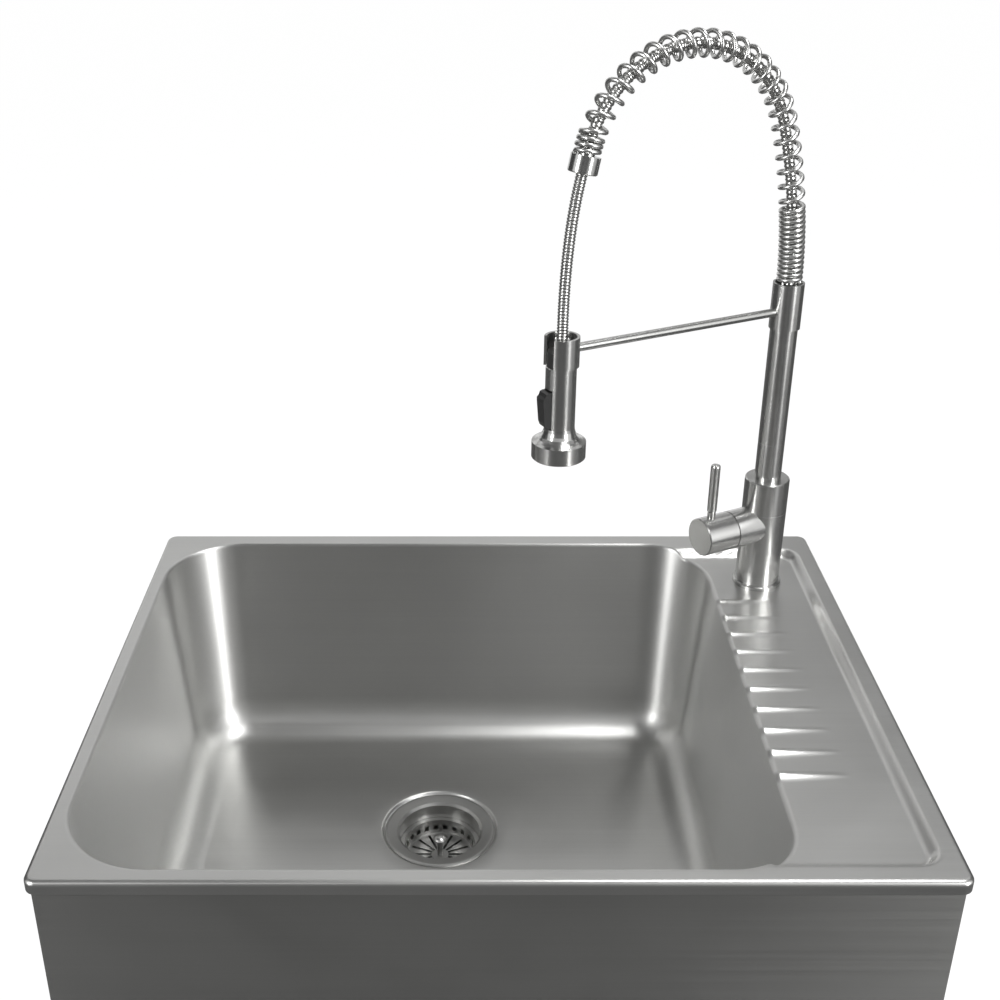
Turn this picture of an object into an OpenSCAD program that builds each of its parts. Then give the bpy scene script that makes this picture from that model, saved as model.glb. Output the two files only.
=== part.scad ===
// Free-standing sink cabinet: a steel cabinet with two doors, a drawn bowl with
// a ribbed side tray, and a spring faucet with a pull-down spray.
// Millimetres. It stands on z = 0, faces -Y, and x = 0 is its middle.

/* [Rim and lip] */
// Width of the sink rim
rim_w = 711; // [680:1:800]
// Depth of the sink rim, front to back
rim_d = 559; // [540:1:640]
// Height of the rim's top face above the floor
rim_top = 864; // [820:1:940]
// Height of the lip folded down around the rim
lip_h = 11.5; // [10:0.5:25]
// Corner radius of the rim
rim_r = 10; // [6:1:20]
// Thickness of the sink's steel sheet
sink_t = 1.2; // [0.8:0.1:2]

/* [Bowl] */
// Rim left of the bowl
bowl_left = 15; // [14:1:30]
// Rim in front of the bowl
bowl_front = 16.5; // [14:0.5:30]
// Rim behind the bowl
bowl_back = 22.5; // [15:0.5:40]
// Width of the bowl's opening
bowl_w = 575.5; // [480:0.5:585]
// Depth of the bowl below the rim
bowl_depth = 230; // [180:1:260]
// Radius of the bowl's two left corners
bowl_r_left = 75; // [56:1:100]
// Radius of the bowl's back right corner
bowl_r_back = 67; // [56:1:90]
// Radius of the bowl's front right corner
bowl_r_front = 57; // [54:1:90]
// How far each wall leans in between rim and floor
bowl_draft = 15; // [2:1:16]
// Radius of the cove between wall and floor
bowl_cove = 40; // [20:1:42]

/* [Side tray] */
// How far the tray lies below the rim
tray_drop = 8; // [4:0.5:12]
// Rim right of the tray
tray_right = 17; // [14:1:30]
// How far the tray's front edge stays behind the bowl's front edge
tray_in_front = 2; // [1.5:0.5:6]
// How far the tray's back edge stays in front of the bowl's back edge
tray_in_back = 9; // [2:0.5:20]
// Width of the sloping step around the tray
tray_slope = 8.5; // [3:0.5:12]
// Corner radius of the tray
tray_r = 20; // [14:1:30]
// Number of ribs across the tray
rib_count = 10; // [4:1:10]
// Distance from rib to rib
rib_pitch = 32; // [24:0.5:33]
// Distance of the last rib from the rim's back edge
rib_back = 131.5; // [125:0.5:150]
// Length of a rib from the bowl's edge
rib_len = 62; // [40:1:80]
// Height of a rib at the bowl's edge
rib_h = 3; // [1.5:0.5:5]
// Width of a rib at the bowl's edge
rib_w = 11; // [7:0.5:16]

/* [Drain] */
// Distance of the drain from the rim's left edge
drain_left = 304.5; // [250:0.5:340]
// Distance of the drain from the rim's back edge
drain_back = 221.5; // [200:0.5:300]
// Outer diameter of the strainer's flange
flange_d = 114.3; // [110:0.1:118]
// Thickness of the strainer's flange
flange_t = 2; // [1.5:0.5:4]
// Diameter of the shallow seat pressed into the bowl's floor
seat_d = 120; // [119:0.5:130]
// Depth of that seat
seat_depth = 3; // [2:0.5:5]
// Inner diameter of the strainer cup above its ledge
cup_d = 84; // [80:0.5:88]
// Width of the ledge that carries the basket
ledge_w = 2; // [1.5:0.5:3]
// Depth of that ledge below the flange's seat
ledge_z = 18; // [8:1:20]
// Depth of the strainer cup below the flange's seat
cup_depth = 56; // [50:1:75]
// Wall thickness of the strainer cup
cup_t = 1.5; // [1:0.1:2.5]
// Length of the cup's threaded outlet
outlet_len = 22; // [18:1:30]
// Thickness of the rubber gasket under the bowl
gasket_t = 3; // [2:0.5:5]
// Height of the strainer's lock nut
locknut_h = 10; // [8:1:16]
// Height of the basket below its rim
basket_depth = 15; // [12:1:30]
// Wall thickness of the basket
basket_t = 1; // [0.8:0.1:1.5]
// Number of slots in the basket's floor
slot_count = 16; // [8:1:20]
// Number of holes around the basket's wall
basket_holes = 22; // [12:1:26]
// Diameter of the basket's knob
knob_d = 14; // [12:0.5:24]

/* [Waste pipe] */
// Outer diameter of the waste pipes
pipe_d = 38.1; // [36:0.1:40]
// Wall thickness of the waste pipes
pipe_t = 1.2; // [1:0.1:2]
// Length of the tailpiece below the strainer
tail_len = 110; // [90:1:120]
// Radius of the trap's bend
trap_r = 48; // [42:1:56]
// How far the trap's outlet ends above its inlet shoulder
trap_rise = 10; // [5:1:20]
// Radius of the trap arm's elbow
elbow_r = 40; // [32:1:46]
// Length of the sockets that the pipes slip into
socket_len = 28; // [24:1:32]

/* [Cabinet] */
// How far the panels stand back under the rim
panel_inset = 5; // [4:0.5:8]
// Thickness of the panels
panel_t = 1.2; // [0.8:0.1:1.5]
// Height of the cabinet's lower edge above the floor
leg_h = 30; // [24:1:60]
// Height of the rail below the doors
rail_h = 50; // [44:1:90]
// How far the fixed front panel reaches below the bowl's floor
apron_below = 14; // [12:1:60]
// Depth of the folded edge that carries the hinges and catches
return_d = 36; // [34:1:44]
// Width of the folded front edge of each side
stile_w = 22; // [18:1:30]
// Width of the folded bottom and back edges of each side
fold_w = 20; // [14:1:24]
// Height of the downward folds along the cabinet's floor
floor_fold = 22; // [15:1:30]
// Length of a corner bracket's legs
bracket_len = 44; // [30:1:48]
// Thickness of a corner bracket
bracket_t = 2; // [1.5:0.5:4]
// Depth of the corner brackets below the rim
bracket_z = 28; // [24:1:40]
// Width of the service opening in the back
service_w = 360; // [250:1:500]
// Height of the service opening in the back
service_h = 330; // [250:1:420]
// Lower edge of the service opening above the floor
service_z = 300; // [150:1:330]
// Corner radius of the service opening
service_r = 20; // [8:1:40]
// Sideways distance between the wall screw holes
wall_hole_x = 560; // [480:1:620]
// Upright distance between the wall screw holes
wall_hole_z = 560; // [450:1:600]
// Diameter of the wall screw holes
wall_hole_d = 6.5; // [4:0.5:9]

/* [Doors] */
// Thickness of a door
door_t = 18; // [16:1:19]
// Sheet thickness of a door's outer skin and liner
skin_t = 1; // [0.8:0.1:1.5]
// Gap above, below and between the doors
door_gap = 3; // [2:0.5:5]
// Gap between a door and the folded front edge beside it
hinge_gap = 3.5; // [3.2:0.1:5]
// Distance of the hinge pin from the door's edge and from its face
hinge_in = 7; // [6.5:0.1:7.2]
// Diameter of the hinge pins
pin_d = 8; // [6:0.5:8]
// How far a hinge pin reaches into the door
pin_reach = 12; // [8:1:16]
// Wall thickness of the hinge bushes
bush_t = 1; // [0.8:0.1:1.4]
// Distance from the door's face to the front of the handle bar
handle_reach = 30; // [26:1:45]
// Length of the handle bar
bar_len = 200; // [150:1:320]
// Diameter of the handle bar
bar_d = 12; // [8:0.5:14]
// Distance between the handle's posts
post_span = 160; // [96:1:280]
// Diameter of the handle's posts
post_d = 8; // [7:0.5:10]
// Distance of the handle from the door's free edge
handle_in = 40; // [25:1:60]
// Distance of the handle's middle below the door's top edge
handle_down = 150; // [120:1:250]
// Diameter of the handle screws
screw_d = 4; // [3:0.5:5]

/* [Feet] */
// Diameter of a foot's pad
foot_d = 50; // [36:1:56]
// Height of a foot's pad
foot_pad_h = 10; // [7:1:14]
// Diameter of a foot's screw
foot_screw_d = 12; // [10:1:14]
// Length of a foot's screw above its pad
foot_screw_len = 56; // [45:1:58]
// Distance of a foot from the cabinet's outer faces
foot_in = 46; // [44:1:56]
// Width of the square foot brackets
foot_plate_w = 84; // [70:1:100]
// Thickness of the foot brackets
foot_plate_t = 3; // [2:0.5:5]

/* [Faucet body] */
// Distance of the faucet from the rim's right edge
faucet_right = 71; // [64:0.5:76]
// Distance of the faucet from the rim's back edge
faucet_back = 88.5; // [76:0.5:95]
// Diameter of the base ring
base_d = 50; // [47:0.5:54]
// Height of the base ring
base_h = 4.5; // [3:0.5:8]
// Diameter of the faucet body
body_d = 45; // [42:0.5:46]
// Height of the faucet body's top above the tray
body_top = 121; // [110:1:150]
// Height of the handle's axis above the tray
branch_z = 70; // [60:1:80]
// Diameter of the handle branch and cap
branch_d = 39; // [37:0.5:40]
// Reach of the branch from the faucet's axis
branch_reach = 43; // [40:0.5:50]
// Bore of the branch, which holds the cartridge
branch_bore = 32.1; // [30:0.1:33]
// Gap between branch and cap
seam = 1; // [0.6:0.1:2]
// Length of the handle cap
cap_len = 36; // [32:1:45]
// Distance of the handle lever from the cap's front face
lever_in = 12.5; // [10:0.5:16]
// Diameter of the handle lever
lever_d = 9.6; // [8:0.1:11]
// Height of the handle lever above the cap
lever_h = 59; // [45:1:80]
// Diameter of the threaded shank under the faucet
shank_d = 32; // [28:1:34]
// Length of the shank below the tray
shank_len = 55; // [45:1:80]
// Distance between the two water inlets in the shank
inlet_span = 14; // [13:0.5:15]
// Diameter of the water inlets
inlet_d = 10; // [8:0.5:10.5]

/* [Riser, arm and holder] */
// Diameter of the riser
riser_d = 26.5; // [24:0.5:27]
// Wall thickness of the riser
riser_t = 1.5; // [1:0.1:2]
// How deep the riser sits in the faucet body
riser_sink = 22; // [16:1:30]
// Diameter of the collar on the riser
collar_d = 30; // [29.5:0.1:33]
// Lower edge of the collar above the tray
collar_z = 281; // [240:1:300]
// Height of the collar
collar_h = 45; // [42:1:60]
// Depth of the sockets for riser and spring in the collar
collar_socket = 6; // [5.8:0.1:8]
// Direction of the arm, the branch and the spray, seen from above
arm_turn = -153; // [-170:1:-120]
// Height of the support arm above the tray
arm_z = 298; // [297:0.5:302]
// Diameter of the support arm
arm_d = 8.1; // [6:0.1:9]
// Reach of the spray from the faucet's axis
arm_reach = 251; // [247:1:259]
// Outer diameter of the spray holder
holder_d = 32; // [31:0.5:36]
// Wall thickness of the spray holder
holder_t = 2.6; // [2:0.1:3.2]
// Height of the spray holder
holder_h = 27.5; // [22:0.5:35]
// How far the holder's top stands above the arm's axis
holder_up = 13; // [8:0.5:18]
// Half angle of the slot in the holder
holder_slot = 33; // [25:1:40]

/* [Spring and hose] */
// Radius of the slow bend above the collar
rise_r = 485; // [440:5:600]
// Angle through which the slow bend turns
rise_turn = 19; // [16:0.5:22]
// Radius of the arch above it
arch_r = 108; // [105:1:111]
// Angle above level at which the spring ends
arch_end = 13; // [10:1:18]
// Outer diameter of the spring
coil_d = 25; // [24:0.5:25]
// Diameter of the spring wire
wire_d = 4.2; // [3:0.1:4.5]
// Number of close turns at the collar
close_turns = 15; // [8:1:16]
// Distance from turn to turn there
close_pitch = 4.8; // [4.8:0.1:6]
// Number of open turns around the arch
open_turns = 24; // [18:1:26]
// Number of close turns at the ferrule
end_turns = 3; // [1:1:5]
// Distance from turn to turn there
end_pitch = 4.8; // [4.8:0.1:8]
// Outer diameter of the hose
hose_d = 10.4; // [9:0.1:11]
// Bore of the hose
hose_bore = 6; // [5:0.1:7]
// Depth of the grooves between the hose's ribs
hose_groove = 0.7; // [0.3:0.1:1]
// Ribs on the hose inside the spring
arch_ribs = 70; // [40:1:74]
// Ribs on the hose below the ferrule
drop_ribs = 50; // [30:1:54]
// Outer diameter of the ferrule
ferrule_d = 26.4; // [26:0.1:28]
// Length of the ferrule
ferrule_len = 15; // [12:0.5:20]

/* [Spray] */
// Diameter of the spray's barrel
spray_d = 28; // [27:0.5:29]
// Lower edge of the spray's barrel above the tray
barrel_z = 225; // [215:1:235]
// Height of the flare between barrel and bell
flare_h = 14; // [8:0.5:16]
// Diameter of the bell
bell_d = 50; // [44:0.5:56]
// Height of the bell
bell_h = 16; // [14:0.5:22]
// Length of the black neck above the barrel
neck_len = 14; // [10:0.5:16]
// Diameter of the nut on the hose's end
hose_nut_d = 13.6; // [12:0.1:15]
// Height of the nut on the hose's end
hose_nut_h = 11; // [8:0.5:16]
// Height of the trigger's pivot above the tray
trigger_z = 244; // [243:0.5:246]
// Length of the trigger
trigger_len = 35; // [26:1:35]
// Width of the trigger
trigger_w = 12; // [8:0.5:13]
// How far the trigger stands out of the barrel
trigger_out = 7; // [4:0.5:10]

/* [Hidden] */
$fn = 64;

// Cut length that clears a face, and the least thickness of a hull's level
eps = 0.01;
// Play all round of a turning or sliding fit, and the gap between pieces that only lie together
fit_gap = 0.06;
seat_gap = 0.3;
// Play all round of a piece that is pressed or soldered in, and of a nut on its thread
fixed_gap = 0.05;
thread_gap = 0.1;

// The cabinet's faces. The rim's middle lies behind y = 0, so that the whole
// object, from the handles to the rim's back, is centred on the frame.
rim_cy = (handle_reach - panel_inset) / 2;
front_y = rim_cy - rim_d / 2 + panel_inset;
back_y = rim_cy + rim_d / 2 - panel_inset;
side_x = rim_w / 2 - panel_inset;
panel_top = rim_top - sink_t;
rail_top = leg_h + rail_h;
apron_bottom = rim_top - bowl_depth - apron_below;

// The bowl's opening, measured from the rim's middle
bowl_x0 = -rim_w / 2 + bowl_left;
bowl_x1 = bowl_x0 + bowl_w;
bowl_y0 = -rim_d / 2 + bowl_front;
bowl_y1 = rim_d / 2 - bowl_back;
bowl_corners = [
    [bowl_x0 + bowl_r_left, bowl_y0 + bowl_r_left, bowl_r_left],
    [bowl_x0 + bowl_r_left, bowl_y1 - bowl_r_left, bowl_r_left],
    [bowl_x1 - bowl_r_back, bowl_y1 - bowl_r_back, bowl_r_back],
    [bowl_x1 - bowl_r_front, bowl_y0 + bowl_r_front, bowl_r_front]
];
cove_steps = 8;

// The tray runs under the bowl's right edge, where the bowl's space cuts it off
tray_overlap = 95;
tray_x0 = bowl_x1 - tray_overlap;
tray_x1 = rim_w / 2 - tray_right;
tray_y0 = bowl_y0 + tray_in_front;
tray_y1 = bowl_y1 - tray_in_back;

// The drain, from the rim's middle and its top face
drain_x = drain_left - rim_w / 2;
drain_y = rim_d / 2 - drain_back;
seat_z = -bowl_depth - seat_depth;
drain_play = 2.5;
drain_hole_d = cup_d + 2 * (cup_t + drain_play);
basket_rim_d = cup_d - 2 * seat_gap;
basket_play = 2;
basket_d = cup_d - 2 * (ledge_w + basket_play);
ledge_top = seat_z - ledge_z;
basket_floor = ledge_top - basket_depth;
outlet_z = seat_z - cup_depth;
outlet_end = outlet_z - outlet_len;
outlet_bore = pipe_d - 0.5;
outlet_t = 4.25;
outlet_d = outlet_bore + 2 * outlet_t;
knob_stand = 20;
seal_h = 5;
seal_z = outlet_z + 0.4;

// The waste pipe: the tailpiece's lower end rests in the trap's inlet socket
tail_end = outlet_end - pipe_t - tail_len;
pipe_bore = pipe_d - 2 * pipe_t;
pipe_play = 0.2;
socket_t = 2;
socket_bore = pipe_d + 2 * pipe_play;
socket_d = socket_bore + 2 * socket_t;
trap_leg = 20;
arm_foot_z = tail_end + trap_rise;
elbow_foot = socket_len + 12;
waste_z = arm_foot_z + elbow_foot + elbow_r;
waste_end_y = rim_d / 2 - 3;

// The doors fill the opening between the folded front edges
opening_x = side_x - stile_w;
door_w = opening_x - hinge_gap - door_gap / 2;
door_z0 = rail_top + door_gap;
door_z1 = apron_bottom - door_gap;
hinge_x = opening_x - hinge_gap - hinge_in;
hinge_y = front_y + hinge_in;
bush_d = pin_d + 2 * bush_t;
handle_z = door_z1 - handle_down;
handle_x = door_gap / 2 + handle_in;
strike_t = 1.5;

// The faucet, in its own frame on the tray: x is the arm's direction
faucet_x = rim_w / 2 - faucet_right;
faucet_y = rim_d / 2 - faucet_back;
deck_play = 1.5;
deck_hole_d = shank_d + 2 * deck_play;
riser_bore = riser_d + 2 * fit_gap;
cap_start = branch_reach + seam;
cap_end = cap_start + cap_len;
lever_x = cap_end - lever_in;
collar_top = collar_z + collar_h;
spring_seat = collar_top - collar_socket;
coil_r = (coil_d - wire_d) / 2;
spring_play = 0.5;
spring_socket_d = coil_d + 2 * spring_play;
hose_play = 0.2;
hose_hole_d = hose_d + 2 * hose_play;
hose_sink = 15;
hose_seat = spring_seat - hose_sink;
holder_top = arm_z + holder_up;
holder_z = holder_top - holder_h;
neck_play = 0.4;
neck_d = holder_d - 2 * (holder_t + neck_play);
barrel_top = holder_z - seat_gap;
neck_top = barrel_top + neck_len;
hose_end_z = neck_top + hose_nut_h;
bell_top = barrel_z - flare_h;
bell_z = bell_top - bell_h;
barrel_t = 3;
barrel_bore = spray_d - 2 * barrel_t;
bell_t = 3;
spray_face_d = bell_d - 2 * bell_t;
plug_len = 14;
trigger_x = 10.2;
trigger_pin_d = 2.2;
pin_out = 2;

// The arch's middle line, in the arm's plane: upright at the collar, round the slow
// bend and then round the arch. s is the distance along it from the spring's seat.
rise_len = rise_r * rise_turn * PI / 180;
arc_len = rise_len + arch_r * (180 - rise_turn - arch_end) * PI / 180;
arch_len = arc_len + wire_d;
function arch_turn(s) =
    s < rise_len ? 180 - s / rise_r * 180 / PI
    : 180 - rise_turn - (min(s, arc_len) - rise_len) / arch_r * 180 / PI;
function arch_out(s) = [cos(arch_turn(s)), 0, sin(arch_turn(s))];
function arch_along(s) = [sin(arch_turn(s)), 0, -cos(arch_turn(s))];
rise_middle = [rise_r, 0, spring_seat];
arch_middle = rise_middle + (rise_r - arch_r) * arch_out(rise_len);
function arch_on(s) =
    s < rise_len ? rise_middle + rise_r * arch_out(s) :
    s > arc_len ? arch_on(arc_len) + (s - arc_len) * arch_along(arc_len) :
    arch_middle + arch_r * arch_out(s);

// The spring's middle distance and angle after a number of turns
spring_foot = wire_d;
bend_r = 0.75 * wire_d;
helix_start = spring_foot + bend_r;
helix_end = arch_len - spring_foot - bend_r;
close_end = helix_start + close_turns * close_pitch;
open_end = helix_end - end_turns * end_pitch;
open_pitch = (open_end - close_end) / open_turns;
all_turns = close_turns + open_turns + end_turns;
rings_per_turn = 8;
function turn_s(n) =
    n < close_turns ? helix_start + n * close_pitch :
    n < close_turns + open_turns ? close_end + (n - close_turns) * open_pitch :
    open_end + (n - close_turns - open_turns) * end_pitch;

// A wire's end stands straight on its seat, then bends over into the first turn
bend_turn = bend_r / coil_r * 180 / PI;
bend_steps = [30, 60];
function coil_out(s, a) = cos(a) * arch_out(s) - sin(a) * [0, 1, 0];
function coil_point(s, a) = arch_on(s) + coil_r * coil_out(s, a);
spring_stations = concat(
    [[0, -bend_turn], [spring_foot, -bend_turn]],
    [for (b = bend_steps) [spring_foot + bend_r * sin(b), -bend_turn * cos(b)]],
    [for (i = [0:all_turns * rings_per_turn])
        [turn_s(i / rings_per_turn), 360 * i / rings_per_turn]],
    [for (b = bend_steps)
        [arch_len - spring_foot - bend_r * cos(b), 360 * all_turns + bend_turn * sin(b)]],
    [[arch_len - spring_foot, 360 * all_turns + bend_turn],
     [arch_len, 360 * all_turns + bend_turn]]
);
spring_path = [for (p = spring_stations) coil_point(p[0], p[1])];
spring_out = [for (p = spring_stations) coil_out(p[0], p[1])];

// The hose below the ferrule: straight, an easy curve, and straight into its nut
hose_exit = arch_on(arc_len + ferrule_len);
hose_in = [arm_reach, 0, hose_end_z];
drop_start = hose_exit + hose_d * arch_along(arch_len);
drop_end = hose_in + [0, 0, hose_d];
drop_pull = 40;
function drop_curve(u) =
    pow(1 - u, 3) * drop_start
    + 3 * u * pow(1 - u, 2) * (drop_start + drop_pull * arch_along(arch_len))
    + 3 * pow(u, 2) * (1 - u) * (drop_end + [0, 0, drop_pull])
    + pow(u, 3) * drop_end;
drop_span = norm(drop_end - drop_start);
function drop_on(s) =
    s < hose_d ? hose_exit + s * arch_along(arch_len) :
    s < hose_d + drop_span ? drop_curve((s - hose_d) / drop_span) :
    drop_end - (s - hose_d - drop_span) * [0, 0, 1];
drop_len = drop_span + 2 * hose_d;

// The hose inside the spring starts deeper in the collar and ends with the ferrule
function inner_on(s) =
    s < spring_seat - hose_seat ? [0, 0, hose_seat + s] :
    arch_on(s - (spring_seat - hose_seat));
inner_len = spring_seat - hose_seat + arc_len + ferrule_len;

function unit(v) = v / norm(v);
function along(path, i) =
    unit(path[min(i + 1, len(path) - 1)] - path[max(i - 1, 0)]);

// Least gap between stretches of a tube that lie skip or more points apart
function least_gap(path, d, skip) = min([
    for (i = [0:len(path) - 1 - skip]) for (j = [i + skip:len(path) - 1])
        norm(path[i] - path[j])
]) - d;
echo(spring_turns = all_turns, spring_gap = least_gap(spring_path, wire_d, 6));

function ring(centre, dir, out, r, sides) = [
    for (k = [0:sides - 1])
        centre + r * (cos(360 * k / sides) * out + sin(360 * k / sides) * cross(dir, out))
];

// Triangles between the rings of a tube; flip turns them to face inwards
function tube_faces(first, rings, sides, flip) = [
    for (i = [0:rings - 2]) for (k = [0:sides - 1])
        let (a = first + i * sides + k,
             b = first + i * sides + (k + 1) % sides,
             c = b + sides, d = a + sides)
        each flip ? [[a, c, d], [a, b, c]] : [[a, d, c], [a, c, b]]
];

// Places a shape at the rim's middle on its top face, or at the faucet's foot
module at_rim() translate([0, rim_cy, rim_top]) children();
module at_faucet() at_rim() translate([faucet_x, faucet_y, -tray_drop]) rotate([0, 0, arm_turn]) children();

module rounded(w, d, r) {
    square([w - 2 * r, d], center = true);
    square([w, d - 2 * r], center = true);
    for (x = [-1, 1]) for (y = [-1, 1])
        translate([x * (w / 2 - r), y * (d / 2 - r)]) circle(r);
}

// A round tube from z0 to z1
module tube(d, bore, z0, z1) {
    difference() {
        translate([0, 0, z0]) cylinder(d = d, h = z1 - z0);
        translate([0, 0, z0 - eps]) cylinder(d = bore, h = z1 - z0 + 2 * eps);
    }
}

// One piece on each side, mirrored about the middle plane
module on_side(side) {
    if (side > 0) children();
    else mirror([1, 0, 0]) children();
}

// A side of the cabinet: one sheet with its front, back and bottom edges folded in
module side_panel(side) {
    inner_x = side_x - panel_t;
    y0 = front_y + panel_t;
    y1 = back_y - panel_t;
    color([0.47, 0.47, 0.46]) on_side(side) {
        translate([inner_x, y0, leg_h]) cube([panel_t, y1 - y0, panel_top - leg_h]);
        translate([side_x - stile_w, y0, leg_h]) cube([stile_w, panel_t, panel_top - leg_h]);
        translate([side_x - fold_w, y1 - panel_t, leg_h]) cube([fold_w, panel_t, panel_top - leg_h]);
        translate([side_x - fold_w, y0, leg_h]) cube([fold_w, y1 - y0, panel_t]);
    }
}
module side_panel_left() side_panel(-1);
module side_panel_right() side_panel(1);

// Screws that hold the back panel to the folded back edges
back_screw_d = 4;
back_screw_x = side_x - fold_w / 2;
back_screw_edge = 60;
back_screw_pitch = (panel_top - leg_h - 2 * back_screw_edge) / 3;
back_screw_rows = [for (k = [0:3]) leg_h + back_screw_edge + k * back_screw_pitch];

module back_panel() {
    middle_z = service_z + service_h / 2;
    color([0.47, 0.47, 0.46]) difference() {
        translate([-side_x, back_y - panel_t, leg_h]) cube([2 * side_x, panel_t, panel_top - leg_h]);
        translate([0, back_y + eps, middle_z]) rotate([90, 0, 0])
            linear_extrude(panel_t + 2 * eps) rounded(service_w, service_h, service_r);
        for (x = [-1, 1]) for (z = [-1, 1])
            translate([x * wall_hole_x / 2, back_y + eps, middle_z + z * wall_hole_z / 2])
                rotate([90, 0, 0]) cylinder(d = wall_hole_d, h = panel_t + 2 * eps);
        for (x = [-1, 1]) for (z = back_screw_rows)
            translate([x * back_screw_x, back_y + eps, z])
                rotate([90, 0, 0]) cylinder(d = back_screw_d, h = panel_t + 2 * eps);
    }
}

// Their heads stand on the panel and their tips end flush with its inner face
module back_screws() {
    head_h = 2;
    color([0.7, 0.7, 0.7]) for (x = [-1, 1]) for (z = back_screw_rows)
        translate([x * back_screw_x, back_y, z]) rotate([90, 0, 0]) {
            cylinder(d = back_screw_d, h = panel_t);
            translate([0, 0, -head_h]) cylinder(d1 = 1.4 * back_screw_d, d2 = 2 * back_screw_d, h = head_h);
        }
}

// The floor lies under the bottom rail's fold; its own side folds hang on the sides
module cabinet_floor() {
    half = side_x - panel_t;
    y0 = front_y + 2 * panel_t;
    y1 = back_y - 2 * panel_t;
    top = rail_top - panel_t;
    color([0.5, 0.5, 0.49]) {
        translate([-half, y0, top - panel_t]) cube([2 * half, y1 - y0, panel_t]);
        for (x = [-half, half - panel_t])
            translate([x, y0, top - floor_fold]) cube([panel_t, y1 - y0, floor_fold]);
        translate([-opening_x, y1 - panel_t, top - floor_fold])
            cube([2 * opening_x, panel_t, floor_fold]);
    }
}

// The hinge pins go through the folds of the apron and the rail
module hinge_pin_holes(z) {
    for (side = [-1, 1])
        translate([side * hinge_x, hinge_y, z - eps])
            cylinder(d = pin_d + 2 * fit_gap, h = panel_t + 2 * eps);
}

module apron() {
    color([0.43, 0.43, 0.42]) difference() {
        union() {
            translate([-side_x, front_y, apron_bottom])
                cube([2 * side_x, panel_t, panel_top - apron_bottom]);
            translate([-opening_x, front_y, apron_bottom]) cube([2 * opening_x, return_d, panel_t]);
        }
        hinge_pin_holes(apron_bottom);
    }
}

module bottom_rail() {
    color([0.43, 0.43, 0.42]) difference() {
        union() {
            translate([-side_x, front_y, leg_h]) cube([2 * side_x, panel_t, rail_h]);
            translate([-opening_x, front_y, rail_top - panel_t]) cube([2 * opening_x, return_d, panel_t]);
        }
        translate([0, 0, -panel_t]) hinge_pin_holes(rail_top);
    }
}

// Three-cornered plates with two folded legs tie the tops of the panels together
module corner_brackets() {
    leg_up = 14;
    x1 = side_x - panel_t;
    y1 = rim_d / 2 - panel_inset - 2 * panel_t;
    color([0.6, 0.6, 0.6]) translate([0, rim_cy, rim_top - bracket_z])
        for (side = [-1, 1]) for (end = [-1, 1]) on_side(side) mirror([0, end < 0 ? 1 : 0, 0]) {
            translate([0, 0, -bracket_t]) linear_extrude(bracket_t)
                polygon([[x1, y1], [x1 - bracket_len, y1], [x1, y1 - bracket_len]]);
            translate([x1 - bracket_t, y1 - bracket_len, -leg_up]) cube([bracket_t, bracket_len, leg_up]);
            translate([x1 - bracket_len, y1 - bracket_t, -leg_up]) cube([bracket_len, bracket_t, leg_up]);
        }
}

// The foot's place in one corner of the cabinet
module at_foot(side, end) {
    foot_x = side_x - foot_in;
    foot_y = end < 0 ? front_y + foot_in : back_y - foot_in;
    translate([side * foot_x, foot_y, 0]) children();
}

// A foot bracket lies on the side's bottom fold and has a threaded boss
module foot_brackets() {
    plate_z = leg_h + panel_t;
    boss_h = 14;
    boss_t = 6;
    half = foot_plate_w / 2;
    color([0.55, 0.55, 0.55]) for (side = [-1, 1]) for (end = [-1, 1]) at_foot(side, end)
        difference() {
            union() {
                translate([-half, -half, plate_z]) cube([foot_plate_w, foot_plate_w, foot_plate_t]);
                translate([0, 0, plate_z]) cylinder(d = foot_screw_d + 2 * boss_t, h = boss_h);
            }
            translate([0, 0, plate_z - eps])
                cylinder(d = foot_screw_d + 2 * fit_gap, h = boss_h + 2 * eps);
        }
}
module brackets() {
    corner_brackets();
    foot_brackets();
}

module foot(side, end) {
    nut_h = 6;
    nut_w = 4.5;
    color([0.3, 0.3, 0.3]) at_foot(side, end) {
        rotate_extrude() polygon([
            [0, 0], [foot_d / 2 - 1, 0], [foot_d / 2, 1], [foot_d / 2, foot_pad_h - 3],
            [foot_d / 2 - 4, foot_pad_h], [0, foot_pad_h]
        ]);
        translate([0, 0, foot_pad_h]) cylinder(d = foot_screw_d + 2 * nut_w, h = nut_h, $fn = 6);
        translate([0, 0, foot_pad_h]) cylinder(d = foot_screw_d, h = foot_screw_len);
    }
}
module foot_front_left() foot(-1, -1);
module foot_front_right() foot(1, -1);
module foot_back_left() foot(-1, 1);
module foot_back_right() foot(1, 1);

// Four pins with their ends in the doors' bushes. The upper ones hang by a head
// above the apron's fold, and a collar on the lower ones carries the door.
module hinge_pins() {
    head_h = 2.5;
    head_d = pin_d + 3;
    reach = pin_reach + door_gap;
    color([0.6, 0.6, 0.6]) for (side = [-1, 1]) translate([side * hinge_x, hinge_y, 0]) {
        translate([0, 0, apron_bottom - reach]) cylinder(d = pin_d, h = reach + panel_t);
        translate([0, 0, apron_bottom + panel_t]) cylinder(d = head_d, h = head_h);
        translate([0, 0, rail_top - panel_t]) cylinder(d = pin_d, h = reach + panel_t);
        translate([0, 0, rail_top]) cylinder(d = head_d, h = door_gap - seat_gap);
    }
}

// One magnet housing for each door hangs from the apron's fold behind its strike
catch_w = 44;
catch_h = 14;
catch_x = door_gap / 2 + 8 + catch_w / 2;
module magnet_catches() {
    y0 = front_y + door_t + strike_t + seat_gap;
    color([0.85, 0.85, 0.83]) for (side = [-1, 1])
        translate([side * catch_x - catch_w / 2, y0, apron_bottom - catch_h])
            cube([catch_w, front_y + return_d - y0, catch_h]);
}

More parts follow.
